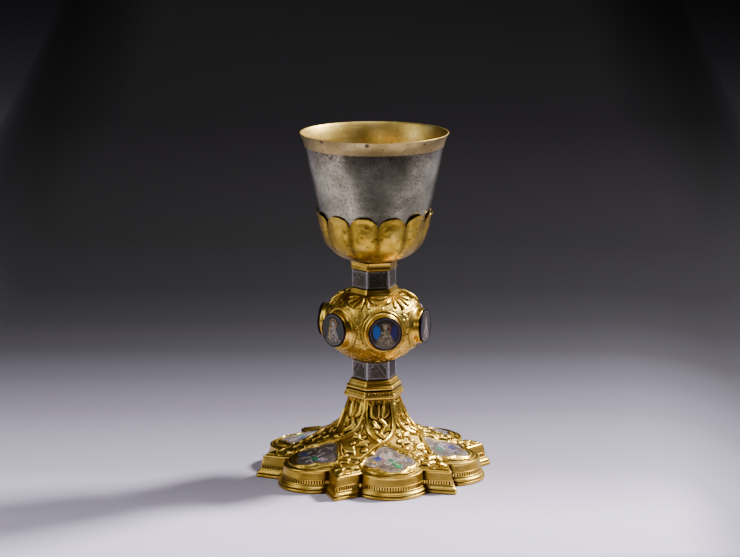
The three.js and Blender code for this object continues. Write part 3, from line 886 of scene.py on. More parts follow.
def patch(x, y, cx, cy, rx, ry, turn=0.0, soft=0.25):
    c, s = math.cos(turn), math.sin(turn)
    u, v = (x - cx) * c + (y - cy) * s, -(x - cx) * s + (y - cy) * c
    return smooth(1 + soft, 1 - soft, np.hypot(u / rx, v / ry))


def strokePaint(x, y, path, half, samples=8):
    points = np.stack([x, y, 0 * x], 1)
    line = curveThrough(path, samples)
    line = np.hstack([line, np.zeros((len(line), 1))])
    return smooth(1.15, 0.75, strokeShare(points, line, np.full(len(line), half)))


def over(paint, mask, colour):
    return paint + mask[:, None] * (np.array(linear(colour)[:3]) - paint)


footEnamels = {
    # one of each for every enamel, from the front one round; a patch is
    # [across, up, half width, half height, turn, colour], with up towards the stem
    "grounds": ["#7C6A5A", "#75695F", "#726870", "#6C6268", "#746A6C", "#46403A"],
    "marks": 78,  # short drawn strokes in each
    "shades": [0.76, 0.74, 0.85, 0.85, 0.8, 1.0],
    "pencils": ["#332D2E", "#463E40", "#BDB2AE", "#5A4A44"],  # outlines and highlights of the drawing
    "patches": [
        [
            (-6.8, 3.6, 2.4, 2.8, 0.4, "#2E4590"), (1.6, -0.2, 3.4, 1.9, -0.3, "#087A46"),
            (3.8, -6.2, 2.6, 4.0, 0.6, "#068A4C"), (-0.6, 6.6, 4.6, 3.8, 0, "#A8988E"),
            (-2.6, 1.6, 2.6, 1.6, 0.5, "#A06C74"), (6.6, 1.8, 2.4, 2.0, 0.2, "#A88C94"),
            (-9.4, -0.6, 1.2, 1.0, 0, "#B8942A"), (9.0, 4.0, 1.3, 1.1, 0, "#C9A020"),
            (11.4, 0.6, 1.4, 1.0, 0, "#3558A0"), (-3.0, -5.4, 4.4, 2.6, 0.2, "#5E504A"),
        ],
        [
            (-5.2, 2.0, 3.0, 2.4, 0.2, "#2E8C70"), (1.4, 2.6, 3.6, 3.0, -0.4, "#B0A6AE"),
            (4.2, -2.6, 3.2, 2.2, 0.5, "#4A4C90"), (-2.4, -5.6, 3.2, 3.0, 0, "#8C7C88"),
            (7.6, 1.4, 1.6, 1.2, 0, "#B98A94"),
        ],
        [
            (0.2, 5.4, 3.4, 3.2, 0, "#BFB5C0"), (-3.4, -2.2, 3.0, 3.4, 0.4, "#38508E"),
            (4.6, -1.6, 2.4, 3.2, -0.4, "#1F8F62"), (0.6, -5.4, 2.6, 2.2, 0, "#A87C84"),
            (-9.0, 0.2, 1.2, 1.0, 0, "#C4A02C"),
        ],
        [
            (1.0, 4.0, 4.0, 3.0, 0.3, "#C2BAC8"), (-4.6, -1.4, 2.6, 2.6, 0, "#1F8A66"),
            (3.2, -4.4, 3.2, 2.6, 0.3, "#44508C"),
        ],
        [
            (-1.0, 5.0, 3.8, 3.0, 0.2, "#BCB2BE"), (5.0, 0.8, 2.6, 2.4, 0, "#39508A"),
            (-4.0, -3.6, 3.0, 2.6, 0.5, "#2A8C66"),
        ],
        [
            (3.0, -4.6, 4.2, 2.2, 0.3, "#176B48"), (-7.2, -3.2, 2.6, 2.0, 0.4, "#2E3A78"),
            (0.4, 3.6, 4.6, 3.0, 0.1, "#57504F"), (8.0, -2.6, 3.2, 2.0, 0.2, "#8A7C8E"),
            (6.0, 4.2, 3.0, 3.4, 0, "#3F3A3C"),
        ],
    ],
}


def paintFootEnamel(x, y, k):
    # broad areas of worn colour under short drawn strokes and a faint halo; nobody in particular
    paint = np.tile(np.array(linear(footEnamels["grounds"][k])[:3]), (len(x), 1))
    for cx, cy, rx, ry, turn, colour in footEnamels["patches"][k]:
        paint = over(paint, patch(x, y, cx, cy, rx, ry, turn), colour)
    random = np.random.RandomState(9 + k)
    for _ in range(footEnamels["marks"]):
        cx, cy = random.uniform(-12, 12), random.uniform(-10, 10)
        angle = random.uniform(0, math.pi)
        run = random.uniform(0.9, 2.6)
        dx, dy = math.cos(angle) * run, math.sin(angle) * run
        middle = (cx + random.uniform(-0.9, 0.9), cy + random.uniform(-0.9, 0.9))
        path = [(cx - dx, cy - dy), middle, (cx + dx, cy + dy)]
        shade = footEnamels["pencils"][random.choice(4, p=[0.4, 0.2, 0.25, 0.15])]
        paint = over(paint, 0.9 * strokePaint(x, y, path, random.uniform(0.24, 0.46), 5), shade)
    halo = smooth(0.5, 0.25, np.abs(np.hypot(x - 0.6, y - 5.4) - 2.7))
    paint = over(paint, 0.45 * halo, "#A89A7C")
    worn = wobble(np.stack([x, y, 0 * x + 40 * k], 1), 0.45, 6)
    return paint * footEnamels["shades"][k] * (1 + 0.4 * worn)[:, None]


def buildFootEnamels():
    around, across = 150, 36
    angle = np.linspace(0, 2 * math.pi, around, endpoint=False)
    edge = foilReach(angle) + 0.45
    share = np.linspace(1, 0, across, endpoint=False)
    # lobe frame: x across, y towards the rim
    x = (edge[None, :] * share[:, None]) * np.sin(angle)[None, :]
    y = (edge[None, :] * share[:, None]) * np.cos(angle)[None, :]
    for k in range(lobes):
        bearing = np.arctan2(x, footSize["plaqueCentre"] + y)
        reach = np.hypot(x, footSize["plaqueCentre"] + y)
        top = footPoints(bearing, reach)
        depth = (1 - share)[:, None] * edge[None, :]
        lift = 0.12 + 0.3 * smooth(0.2, 4, depth)
        top[..., 2] += lift
        low = top[0].copy()
        low[:, 2] -= 0.75
        grid = np.concatenate([[low], top])
        flatX, flatY = x.ravel(), -y.ravel()
        paint = paintFootEnamel(flatX, flatY, k).reshape(across, around, 3)
        silverEdge = smooth(1.25, 0.95, depth)
        paint = paint + silverEdge[..., None] * (np.array(linear("#A89C98")[:3]) - paint)
        paint = np.concatenate([[paint[0]], paint])
        metal = np.concatenate([[silverEdge[0]], silverEdge])
        piece = roundPiece(
            f"foot_enamel_{k + 1}",
            turned(grid, k * sector),
            enamel,
            {"paint": paint.reshape(-1, 3), "metal": metal},
            sharp=60,
        )
        place(piece, "grey_enamel", f"foot_plaque_{k + 1}")


buildFootEnamels()
print("foot enamels")


# what repeats along an edge: posts and beads


def spacedTree(name, material, shape):
    # instances a small shape along a curve at an even spacing
    tree = bpy.data.node_groups.new(name, "GeometryNodeTree")
    tree.interface.new_socket("Path", in_out="INPUT", socket_type="NodeSocketGeometry")
    sizesOf = {}
    for label, value in shape["inputs"].items():
        socket = tree.interface.new_socket(label, in_out="INPUT", socket_type="NodeSocketFloat")
        socket.default_value = value
        sizesOf[label] = socket.identifier
    tree.interface.new_socket("Result", in_out="OUTPUT", socket_type="NodeSocketGeometry")
    start = addNode(tree, "NodeGroupInput")
    path = addNode(tree, "GeometryNodeMeshToCurve", {"Mesh": start.outputs["Path"]})
    evenly = {"Curve": path.outputs["Curve"], "Length": start.outputs["Spacing"]}
    evenly = addNode(tree, "GeometryNodeResampleCurve", evenly, mode="LENGTH")
    width, height = start.outputs["Width"], start.outputs["Height"]
    size = addNode(tree, "ShaderNodeCombineXYZ", {"X": width, "Y": width, "Z": height}).outputs["Vector"]
    if shape["kind"] == "post":
        item = addNode(tree, "GeometryNodeMeshCube", {"Size": size}).outputs["Mesh"]
    else:
        ball = addNode(tree, "GeometryNodeMeshIcoSphere", {"Radius": 0.5, "Subdivisions": 2}).outputs["Mesh"]
        item = addNode(tree, "GeometryNodeTransform", {"Geometry": ball, "Scale": size}).outputs["Geometry"]
    tangent = {"Vector": addNode(tree, "GeometryNodeInputTangent").outputs["Tangent"]}
    facing = addNode(tree, "FunctionNodeAlignRotationToVector", tangent, axis="X", pivot_axis="Z")
    placed = addNode(
        tree,
        "GeometryNodeInstanceOnPoints",
        {"Points": evenly.outputs["Curve"], "Instance": item, "Rotation": facing.outputs["Rotation"]},
    )
    real = addNode(tree, "GeometryNodeRealizeInstances", {"Geometry": placed.outputs["Instances"]})
    dressed = {"Geometry": real.outputs["Geometry"], "Material": material}
    dressed = addNode(tree, "GeometryNodeSetMaterial", dressed)
    shaded = {"Geometry": dressed.outputs["Geometry"], "Shade Smooth": shape["kind"] != "post"}
    shaded = addNode(tree, "GeometryNodeSetShadeSmooth", shaded)
    addNode(tree, "NodeGroupOutput", {"Result": shaded.outputs["Geometry"]})
    return tree, sizesOf


def alongPath(name, points, material, shape, slotName):
    # points: a closed loop in millimetres
    loop = bpy.data.meshes.new(name + "_path")
    count = len(points)
    loop.from_pydata((np.asarray(points) * mm).tolist(), [(i, (i + 1) % count) for i in range(count)], [])
    holder = bpy.data.objects.new(name + "_path", loop)
    bpy.context.scene.collection.objects.link(holder)
    tree, sizesOf = spacedTree(name + "_tree", material, shape)
    modifier = holder.modifiers.new("spaced", "NODES")
    modifier.node_group = tree
    for label, value in shape["inputs"].items():
        modifier[sizesOf[label]] = value
    evaluated = holder.evaluated_get(bpy.context.evaluated_depsgraph_get())
    mesh = bpy.data.meshes.new_from_object(evaluated)
    holder.modifiers.remove(modifier)
    bpy.data.objects.remove(holder)
    piece = bpy.data.objects.new(name, mesh)
    bpy.context.scene.collection.objects.link(piece)
    place(piece, slotName)


edgePosts = {"kind": "post", "inputs": {"Spacing": 1.6 * mm, "Width": 0.8 * mm, "Height": 1.9 * mm}}
allRound = np.linspace(0, 2 * math.pi, 1440, endpoint=False)
alongPath("edge_posts", polar(allRound, outline(allRound, 0.75), 6.4), gilding, edgePosts, "gilt")


def hexReach(bearing, corner, soft=0.5):
    # a hexagon with flats towards the lobes and slightly rounded corners
    turn = fromLobe(bearing)
    flat = corner * math.cos(sector / 2)
    side = flat / np.cos(turn)
    return -soft * np.logaddexp(-side / soft, -(corner - 0.25 * soft) / soft)


neckBeads = {"kind": "bead", "inputs": {"Spacing": 3.6 * mm, "Width": 2.1 * mm, "Height": 1.8 * mm}}
alongPath("neck_beads", polar(allRound, hexReach(allRound, 16.1), 47.2), gilding, neckBeads, "gilt")
print("posts and beads")


# six-sided collars


def hexColumns(perSide=15):
    # bearings that crowd towards the corners
    share = np.linspace(-1, 1, perSide, endpoint=False)
    turn = np.sign(share) * (1 - (1 - np.abs(share)) ** 1.6) * sector / 2
    return np.concatenate([k * sector + turn for k in range(lobes)])


def hexCollar(name, profile, node, dots=None, seam=False):
    # profile: [corner radius, height, patina and painted shade] from the bottom up
    bearing = hexColumns(30 if dots else 15)
    rows, patinaAndShade = [], []
    for corner, z, dark in profile:
        reach = hexReach(bearing, corner, 0.22)
        shade = np.full(len(bearing), float(dark))
        if dots and dots["low"] < z < dots["high"]:
            middle = (dots["low"] + dots["high"]) / 2
            side = reach * np.sin(bearing - sector * np.round(bearing / sector))
            cell = side / dots["spacing"]
            apart = np.hypot((cell - np.round(cell)) * dots["spacing"], z - middle)
            pit = smooth(dots["radius"], dots["radius"] * 0.5, apart)
            reach = reach - 0.45 * pit
            # painted shade in the sunk dots
            shade = np.maximum(shade, 0.95 * pit)
        if seam:
            # the strip's lap, just left of a corner, with painted shadow beside it
            apart = (bearing + sector / 2 - 0.02) * corner
            reach = reach + 0.35 * smooth(0.7, 0.2, np.abs(apart))
            shade = np.maximum(shade, 0.8 * smooth(0.35, 0.1, np.abs(apart - 0.8)))
        rows.append(polar(bearing, reach, z))
        patinaAndShade.append(shade)
    piece = roundPiece(name, np.stack(rows), gilding, {"patinaAndShade": np.stack(patinaAndShade)}, sharp=28)
    place(piece, "gilt", node)


def fineProfile(marks, step=0.22):
    # fills a profile of [radius, height, patina and painted shade] with points no further apart than step
    made = []
    for a, b in zip(marks, marks[1:]):
        count = max(1, int(math.hypot(b[0] - a[0], b[1] - a[1]) / step))
        for i in range(count):
            made.append(tuple(mix(np.array(a, float), np.array(b, float), i / count)))
    return made + [tuple(marks[-1])]


collars = {
    "foot": [
        (16.8, 48.6, 0.6), (18.0, 48.7, 0.5), (18.8, 48.75, 0), (18.95, 49.4, 0), (18.85, 50.1, 0),
        (18.6, 50.3, 0.5),
        (18.5, 50.5, 0.3), (18.2, 51.4, 0.05), (17.95, 52.6, 0.05), (17.75, 53.0, 0.3), (17.6, 53.15, 0.7),
        (16.7, 53.2, 0.95), (16.3, 53.7, 0.95), (16.7, 54.1, 0.8), (17.3, 54.2, 0.1), (17.45, 54.7, 0),
        (17.3, 55.3, 0), (16.9, 55.7, 0.1), (16.3, 55.9, 0.6), (15.95, 56.3, 0.3), (15.7, 57.0, 0),
        (15.5, 57.6, 0.05), (15.1, 57.8, 0.55), (15.05, 58.1, 0.2), (14.9, 58.8, 0), (14.2, 59.2, 0.3),
    ],
    "knop": [
        (15.6, 112.6, 0.7), (15.4, 112.9, 0.4), (14.95, 113.6, 0.1), (14.7, 114.4, 0), (14.7, 115.0, 0),
        (14.5, 115.5, 0), (13.8, 115.5, 0.5),
    ],
    "calyx": [
        (13.8, 127.3, 0.5), (14.25, 127.4, 0.1), (14.5, 127.8, 0), (14.45, 128.5, 0), (14.25, 129.2, 0.05),
        (14.35, 130.5, 0.05), (14.6, 131.5, 0.1), (15.05, 132.1, 0.3), (13.8, 132.25, 0.6),
    ],
    "dots": {"low": 50.9, "high": 52.9, "spacing": 1.85, "radius": 0.75},  # sunk round the moulding
}
hexCollar("stepped_moulding", fineProfile(collars["foot"]), "foot_collar", dots=collars["dots"])
hexCollar("knop_collar_strip", fineProfile(collars["knop"], 0.5), "knop_collar")
hexCollar("calyx_collar_strip", fineProfile(collars["calyx"], 0.5), "calyx_collar", seam=True)
print("collars")


# stem drums and their engraved panels

drums = {
    "corner": 13.75,
    "panelHalf": 6.15,
    "frameWidth": 0.4,
    "seat": 0.55,
    "lower": (59.5, 70.9),
    "upper": (115.8, 127.1),
}


def panelLines(name, k):
    # engraved lines in a panel from -1 to 1 across and up
    if name == "lower":
        lines = [
            [(-0.9, 0.35), (-0.2, 0.95), (0.1, 0.95)],
            [(0.9, 0.35), (0.35, 0.95), (0.1, 0.95)],
            [(-0.1, 0.8), (0.3, 0.1), (0.85, -0.75)],
            [(-0.85, 0.9), (-0.5, 0.6), (-0.8, 0.4)],
            [(0.85, 0.95), (0.6, 0.6), (0.85, 0.3)],
            [(-0.8, -0.85), (-0.75, 0.1)],
        ]
    else:
        lines = [
            [(-0.8, 0.9), (-0.4, 0.55), (-0.1, 0.9), (0.3, 0.6), (0.75, 0.9)],
            [(0.75, 0.9), (0.3, 0.4), (0.8, 0.0), (0.35, -0.4), (0.75, -0.85)],
            [(-0.8, 0.5), (-0.7, -0.4), (-0.4, -0.85), (0.2, -0.8)],
            [(0.45, 0.1), (0.15, 0.3), (0.0, 0.05)],
        ]
    flip = -1 if k % 2 else 1
    return [[(flip * u, v) for u, v in line] for line in lines]


def buildDrum(name):
    bottom, top = drums[name]
    corner = drums["corner"]
    flat = corner * math.cos(sector / 2)
    marks = [(corner - 0.4, bottom), (corner, bottom + 0.35), (corner, top - 0.35), (corner - 0.4, top)]
    profile = fineProfile([(reach, z, 0) for reach, z in marks], 0.9)
    bearing = hexColumns(24)
    side = flat * np.tan(bearing - sector * np.round(bearing / sector))
    rows, rubbed = [], []
    for radius, z, _ in profile:
        reach = hexReach(bearing, radius, 0.2)
        inside = smooth(drums["panelHalf"] + 0.05, drums["panelHalf"] - 0.05, np.abs(side))
        inside = inside * (bottom + drums["frameWidth"] < z < top - drums["frameWidth"])
        rows.append(polar(bearing, reach - drums["seat"] * inside / np.cos(fromLobe(bearing)), z))
        post = smooth(drums["panelHalf"] - 0.1, drums["panelHalf"] + 0.15, np.abs(side))
        rubbed.append(0.2 + 0.65 * post)
    piece = roundPiece(f"{name}_drum", np.stack(rows), panelSilver, {"rubbed": np.stack(rubbed)}, sharp=28)
    place(piece, "stem_silver", f"{name}_stem")
    # panels: flat plates with engraved lines
    wide, high = 52, 46
    halfWide = drums["panelHalf"] - 0.2
    halfHigh = (top - bottom) / 2 - drums["frameWidth"] - 0.25
    u, v = np.meshgrid(np.linspace(-1, 1, wide), np.linspace(-1, 1, high))
    x, z = (u * halfWide).ravel(), (v * halfHigh).ravel()
    for k in range(lobes):
        lines = np.zeros(x.shape)
        for line in panelLines(name, k):
            path = [(a * halfWide, b * halfHigh) for a, b in line]
            lines = np.maximum(lines, strokePaint(x, z, path, 0.16, 10))
        edge = np.minimum(halfWide - np.abs(x), halfHigh - np.abs(z))
        border = smooth(0.5, 0.25, np.abs(edge - 0.35)) * 0.25
        strength = 0.55 if name == "lower" else [0.12, 0.3, 0.3, 0.3, 0.3, 0.4][k]
        shade = np.clip(np.maximum(lines * strength, border), 0, 1)
        depth = flat - 0.12 - 0.12 * lines - 0.25 * smooth(0.3, 0, edge)
        points = np.stack([x, -depth, z + (bottom + top) / 2], 1)
        back = points.copy()
        back[:, 1] = -(flat - 0.5)
        every = np.arange(wide * high).reshape(high, wide)
        front = np.stack([every[:-1, :-1], every[:-1, 1:], every[1:, 1:], every[1:, :-1]], -1).reshape(-1, 4)
        loop = np.concatenate([every[0, :-1], every[:-1, -1], every[-1, :0:-1], every[:0:-1, 0]])
        ring = np.roll(loop, -1)
        count = wide * high
        # the sides and a back made of one ring of points
        backIndex = {int(a): count + i for i, a in enumerate(loop)}
        faces = front.tolist()
        for a, b in zip(loop, ring):
            faces.append((int(a), backIndex[int(a)], backIndex[int(b)], int(b)))
        faces.append([backIndex[int(a)] for a in loop[::-1]])
        points = turned(np.vstack([points, back[loop]]), k * sector)
        shade = np.concatenate([shade, np.zeros(len(loop))])
        piece = meshPiece(f"{name}_panel_{k + 1}", points, faces, panelSilver, {"rubbed": shade})
        place(piece, "dark_enamel", f"{name}_stem_panel_{k + 1}")


for drumName in ("lower", "upper"):
    buildDrum(drumName)
print("stem")


# knop

knopSize = {
    "radius": 29.5,
    "powerAbove": 3.0,
    "powerBelow": 2.2,
    "bottom": 71.2,
    "top": 112.4,
    "end": 1.36,  # latitude where the ball is cut flat
    "columns": 504,
    "rows": 184,
    "roundelHeight": 93.0,
    "halfSquares": (870, 870, 440),  # squared half sizes, for the way that relief stands out
    "palmetteRelief": 1.15,
    "scrollRelief": 0.7,
    "curls": 64,  # tried in half a sector
}
knopMiddle = (knopSize["bottom"] + knopSize["top"]) / 2
knopHalf = (knopSize["top"] - knopSize["bottom"]) / 2 + 0.6
# a seat's profile: [distance from its axis, reach from the chalice's axis]
seatProfile = [
    (0, 31.6), (10.0, 31.6), (10.3, 31.4), (10.35, 30.4), (10.4, 29.4), (10.55, 28.6), (10.85, 27.9),
    (11.35, 27.3), (11.9, 26.95), (12.3, 26.9), (12.5, 27.15), (12.75, 27.2), (12.95, 27.0),
    (13.05, 26.5), (13.25, 26.45), (13.45, 26.5), (13.65, 26.1), (14.1, 25.0), (15, 23.2),
]


def knopSurface(latitude):
    power = 2 / np.where(np.asarray(latitude) > 0, knopSize["powerAbove"], knopSize["powerBelow"])

    def flatten(v):
        return np.sign(v) * np.abs(v) ** power

    return knopSize["radius"] * flatten(np.cos(latitude)), knopMiddle + knopHalf * flatten(np.sin(latitude))


# run along the ball from its equator up and down, to lay strokes out in millimetres
knopLatitude = np.linspace(0, knopSize["end"], 300)
knopRuns = {}
for up in (1, -1):
    ballRadius, ballHeight = knopSurface(up * knopLatitude)
    knopRuns[up] = np.concatenate([[0], np.cumsum(np.hypot(np.diff(ballRadius), np.diff(ballHeight)))])


def knopChart(base, up):
    # u across and v towards the equator, both from the ball's end
    def toSurface(uv):
        latitude = np.interp(knopRuns[up][-1] - uv[:, 1], knopRuns[up], knopLatitude)
        radius, z = knopSurface(up * latitude)
        return polar(base + uv[:, 0] / np.maximum(radius, 6), radius, z)

    return toSurface


def palmette(up):
    # clubs fanned out from under the collar's corner
    made = []
    turns = [-1.38, -1.04, -0.68, -0.34, 0, 0.34, 0.68, 1.04, 1.38]
    lengths = [9.6, 11.4, 12.6, 13.6, 14.2, 13.6, 12.6, 11.4, 9.6]
    shift, tall = (4.0, 1.15) if up > 0 else (2.4, 0.7)
    for i, (turn, length) in enumerate(zip(turns, lengths)):
        length *= 0.98 if up > 0 else 0.6
        path = []
        for share in (0.2, 0.45, 0.75, 1):
            angle = turn * (0.9 + 0.2 * share)
            path.append((length * share * math.sin(angle), shift + length * share * math.cos(angle)))
        half = 1.25 if i % 2 == 0 else 1.05
        made.append((path, [0.3, 0.55 * half, 0.85 * half, half, 0.7 * half], tall))
    return made


def scrollGround(random, up):
    # small curls that fill the ground between seats and palmettes
    made = []
    for _ in range(knopSize["curls"]):
        u, v = random.uniform(-13, 13), random.uniform(5, 38)
        if math.hypot(u, v - 3) < 16.5 and up > 0:
            continue
        angle, size = random.uniform(0, 2 * math.pi), random.uniform(1.3, 2.1)
        path = []
        for step in range(5):
            turn = angle + step * 1.05
            reach = size * (1 - 0.15 * step)
            path.append((u + reach * math.cos(turn), v + reach * math.sin(turn)))
        made.append((path, [0.62, 0.45], 0.75))
    return made


def buildKnop():
    columns, rows = knopSize["columns"], knopSize["rows"]
    above = rows * 11 // 20
    lower = np.linspace(knopRuns[-1][-1], 0, rows - above, endpoint=False)
    upper = np.linspace(0, knopRuns[1][-1], above)
    latitude = [-np.interp(lower, knopRuns[-1], knopLatitude), np.interp(upper, knopRuns[1], knopLatitude)]
    latitude = np.concatenate(latitude)
    bearing = np.linspace(0, 2 * math.pi, columns, endpoint=False)
    radius, z = knopSurface(latitude)
    ball = polar(bearing[None, :], radius[:, None], z[:, None])
    flat = ball.reshape(-1, 3)
    relief = np.zeros(len(flat))
    nearest = np.full(len(flat), 9.0)
    byScroll = nearest.copy()
    for k in range(lobes):
        random = np.random.RandomState(200 + k)
        for up in (1, -1):
            half = np.nonzero((flat[:, 2] - knopMiddle) * up > -3)[0]
            carving = (
                (palmette(up), knopSize["palmetteRelief"], nearest),
                (scrollGround(random, up), knopSize["scrollRelief"], byScroll),
            )
            for strokes, height, beside in carving:
                part, share = carve(flat[half], knopChart((k + 0.5) * sector, up), strokes, height, 6)
                relief[half] = np.maximum(relief[half], part)
                beside[half] = np.minimum(beside[half], share)
    ground = smooth(0.45, 0.05, relief)
    grain = wobble(flat, 1.6, 8)
    centre = np.array([0, 0, knopSize["roundelHeight"]])
    outward = flat - [0, 0, knopMiddle]
    normal = outward / knopSize["halfSquares"]
    normal /= np.linalg.norm(normal, axis=1, keepdims=True)
    flat = flat + normal * (relief + 0.16 * grain * ground)[:, None]
    # patina in the ground, and painted shadow along the foot of palmettes and curls
    patinaAndShade = np.maximum(patinaAndShadowBy(nearest, 0.18), 0.62 * patinaAndShadowBy(byScroll, 0))
    # seats: along each ray from the knop's middle, the further of ball and seat
    seat = np.array(seatProfile)
    slope = seat[:, 0] / seat[:, 1]
    ray = flat - centre
    distance = np.linalg.norm(ray, axis=1)
    ray /= distance[:, None]
    for k in range(lobes):
        axis = np.array([math.sin(k * sector), -math.cos(k * sector), 0])
        toward = ray @ axis
        tangent = np.sqrt(np.clip(1 - toward**2, 0, 1)) / np.maximum(toward, 0.01)
        hit = (toward > 0.5) & (tangent < slope[-1])
        reach = np.interp(tangent, slope, seat[:, 1])
        radial = reach * tangent
        seatDistance = reach / np.maximum(toward, 0.01)
        near = hit & ((seatDistance > distance) | (radial < 13.4))
        distance = np.where(near, seatDistance, distance)
        # painted shade in the seat's grooves, under the medallion and round the seat's foot
        rim = np.maximum(0.6 * smooth(0.22, 0.05, np.abs(radial - 13.15)), 0.85 * smooth(10.3, 9.8, radial))
        rim = np.maximum(rim, 0.4 * smooth(0.4, 0.1, np.abs(radial - 12.2)))
        patinaAndShade = np.where(near, rim, patinaAndShade)
        beside = np.maximum(patinaAndShade, 0.6 * smooth(14.5, 13.7, radial))
        patinaAndShade = np.where(hit & ~near & (radial < 14.6), beside, patinaAndShade)
    flat = centre + ray * distance[:, None]
    grid = flat.reshape(rows, columns, 3)
    for row, level in ((0, knopSize["bottom"]), (rows - 1, knopSize["top"])):
        grid[row] = polar(bearing, radius[row], level)
    grid[..., 2] = np.clip(grid[..., 2], knopSize["bottom"], knopSize["top"])
    piece = roundPiece("knop_shell", grid, gilding, {"patinaAndShade": patinaAndShade.reshape(rows, columns)}, sharp=50)
    place(piece, "gilt", "knop")


buildKnop()
print("knop")


# medallions on the knop

medallions = {
    "radius": 10.3,
    "enamelRadius": 9.25,
    "back": 31.9,
    "hatching": 44,  # short pale lines across each robe
    "figures": [
        # ground, left field, right field, halo, robe, folds, lean
        ("#231E18", "#0F569C", "#1F195A", "#4A3F2C", "#5E543F", "#AC9C78", 0.0),
        ("#1C1919", "#222224", "#242026", "#4A3E38", "#3E3635", "#8E7F7A", 0.3),
        ("#232228", "#1B4A88", "#22225A", "#6A5026", "#5A545C", "#9C929E", -0.2),
        ("#28241E", "#20246A", "#175C92", "#7A5C2A", "#544C3E", "#968B72", 0.2),
        ("#212428", "#1C5260", "#20255C", "#7E5E26", "#625A60", "#A2989F", -0.3),
        ("#1E1C18", "#2C2D24", "#24352E", "#A87726", "#4E4A3E", "#B5AD9A", 0.1),
    ],
    # what two of them hold: path, half width, strength, colour
    "held": {
        0: ([(2.6, 5.6), (3.0, 3.4), (2.8, 1.0)], 0.5, 0.7, "#8A4A1E"),
        5: ([(-3.0, 1.6), (-3.4, -2.0), (-3.2, -6.0)], 0.4, 0.8, "#B99A3A"),
    },
}


def paintFigure(x, y, k):
    # a haloed, robed figure to the waist, with no face to know it by
    ground, left, right, halo, robe, folds, lean = medallions["figures"][k]
    paint = np.tile(np.array(linear(ground)[:3]), (len(x), 1))
    paint = over(paint, patch(x, y, -5.0, 0.8, 2.3, 4.4, 0.12, 0.15), left)
    paint = over(paint, patch(x, y, 5.4, 0.6, 2.0, 4.4, -0.12, 0.15), right)
    turn = x - lean * 0.4
    body = smooth(0.4, -0.4, np.abs(turn) - (2.2 + 0.55 * (1.4 - y))) * smooth(2.4, 1.4, y)
    paint = over(paint, body, robe)
    headX, headY = lean, 3.9
    apart = np.hypot(x - headX, y - headY)
    paint = over(paint, 0.75 * smooth(2.9, 2.5, apart), ground)
    paint = over(paint, 0.9 * smooth(0.5, 0.2, np.abs(apart - 2.75)), halo)
    paint = over(paint, patch(x, y, headX, headY - 0.1, 1.15, 1.5, 0, 0.12), folds)
    paint = over(paint, 0.7 * patch(x, y, headX, headY + 1.1, 1.3, 0.8, 0, 0.2), robe)
    paint = over(paint, 0.5 * patch(x, y, headX - 0.1, headY - 0.4, 0.7, 0.75, 0, 0.2), robe)
    creases = [
        [(-1.8, 1.4), (-2.8, -1.5), (-3.8, -5.5)],
        [(1.8, 1.4), (2.9, -1.5), (4.2, -5.2)],
        [(-0.6, 1.2), (0.6, -1.8), (3.0, -4.2)],
        [(-3.6, -3.0), (-0.5, -4.6), (2.6, -6.4)],
        [(0.4, -0.6), (-1.6, -3.4), (-2.6, -6.8)],
        [(1.2, -2.6), (2.4, -4.8), (1.4, -7.2)],
        [(-0.2, 1.4), (-0.4, -0.4), (-1.4, -2.2)],
    ]
    for line in creases:
        paint = over(paint, 0.6 * strokePaint(x, y, [(a + lean, b) for a, b in line], 0.24, 8), folds)
    paint = over(paint, 0.8 * patch(x, y, 0.8 + lean, -1.2, 1.0, 0.7, 0.5, 0.2), folds)
    random = np.random.RandomState(60 + k)
    for _ in range(medallions["hatching"]):
        down = random.uniform(-7.6, 5.6)
        out = lean + random.uniform(-1, 1) * (1.6 + 0.55 * (1.4 - min(down, 1.4)))
        run, drop = random.uniform(0.4, 1.1), random.uniform(-0.7, 0.5)
        line = [(out - run, down), (out, down + 0.25), (out + run, down + drop)]
        paint = over(paint, 0.8 * strokePaint(x, y, line, 0.17, 5), folds if random.rand() < 0.6 else ground)
    if k in medallions["held"]:
        path, half, strength, colour = medallions["held"][k]
        paint = over(paint, strength * strokePaint(x, y, path, half), colour)
    return paint


def buildMedallions():
    around, across = 96, 44
    angle = np.linspace(0, 2 * math.pi, around, endpoint=False)
    radius = medallions["radius"]
    # [radius, height above the back]
    edge = [
        (radius - 0.5, 0.0), (radius, 0.2), (radius, 0.9),
        (radius - 0.15, 1.15), (radius - 0.45, 1.25), (radius - 0.8, 1.1),
    ]
    middle = medallions["enamelRadius"]
    inner = [(r, 0.92 + 0.25 * (1 - (r / middle) ** 2)) for r in np.linspace(middle, 0.25, across)]
    profile = edge + inner
    rings = len(profile)
    radii = np.array([r for r, _ in profile])
    lifts = np.array([h for _, h in profile])
    # seen from outside, anticlockwise with x to the right and y up
    x = radii[:, None] * np.cos(angle)[None, :]
    y = radii[:, None] * np.sin(angle)[None, :]
    reach = medallions["back"] + lifts[:, None] + 0 * x
    for k in range(lobes):
        grid = np.stack([x, -reach, knopSize["roundelHeight"] + y], -1)
        paint = paintFigure(x.ravel(), y.ravel(), k).reshape(rings, around, 3)
        bezel = (np.arange(rings) < len(edge))[:, None] * np.ones(around)[None, :]
        shine = smooth(0.35, 0.1, np.abs(radii - (medallions["enamelRadius"] - 0.25)))[:, None] * 0.6
        dark, pale = np.array(linear("#241C20")[:3]), np.array(linear("#7A7074")[:3])
        paint = np.where(bezel[..., None] > 0, dark, paint)
        paint = paint + shine[..., None] * (pale - paint)
        metal = np.maximum(bezel, shine * np.ones(around)[None, :])
        lines = {"paint": paint.reshape(-1, 3), "metal": metal}
        piece = roundPiece(f"medallion_{k + 1}", turned(grid, k * sector), enamel, lines, sharp=35)
        place(piece, "blue_enamel", f"knop_medallion_{k + 1}")


buildMedallions()
print("medallions")


# bowl

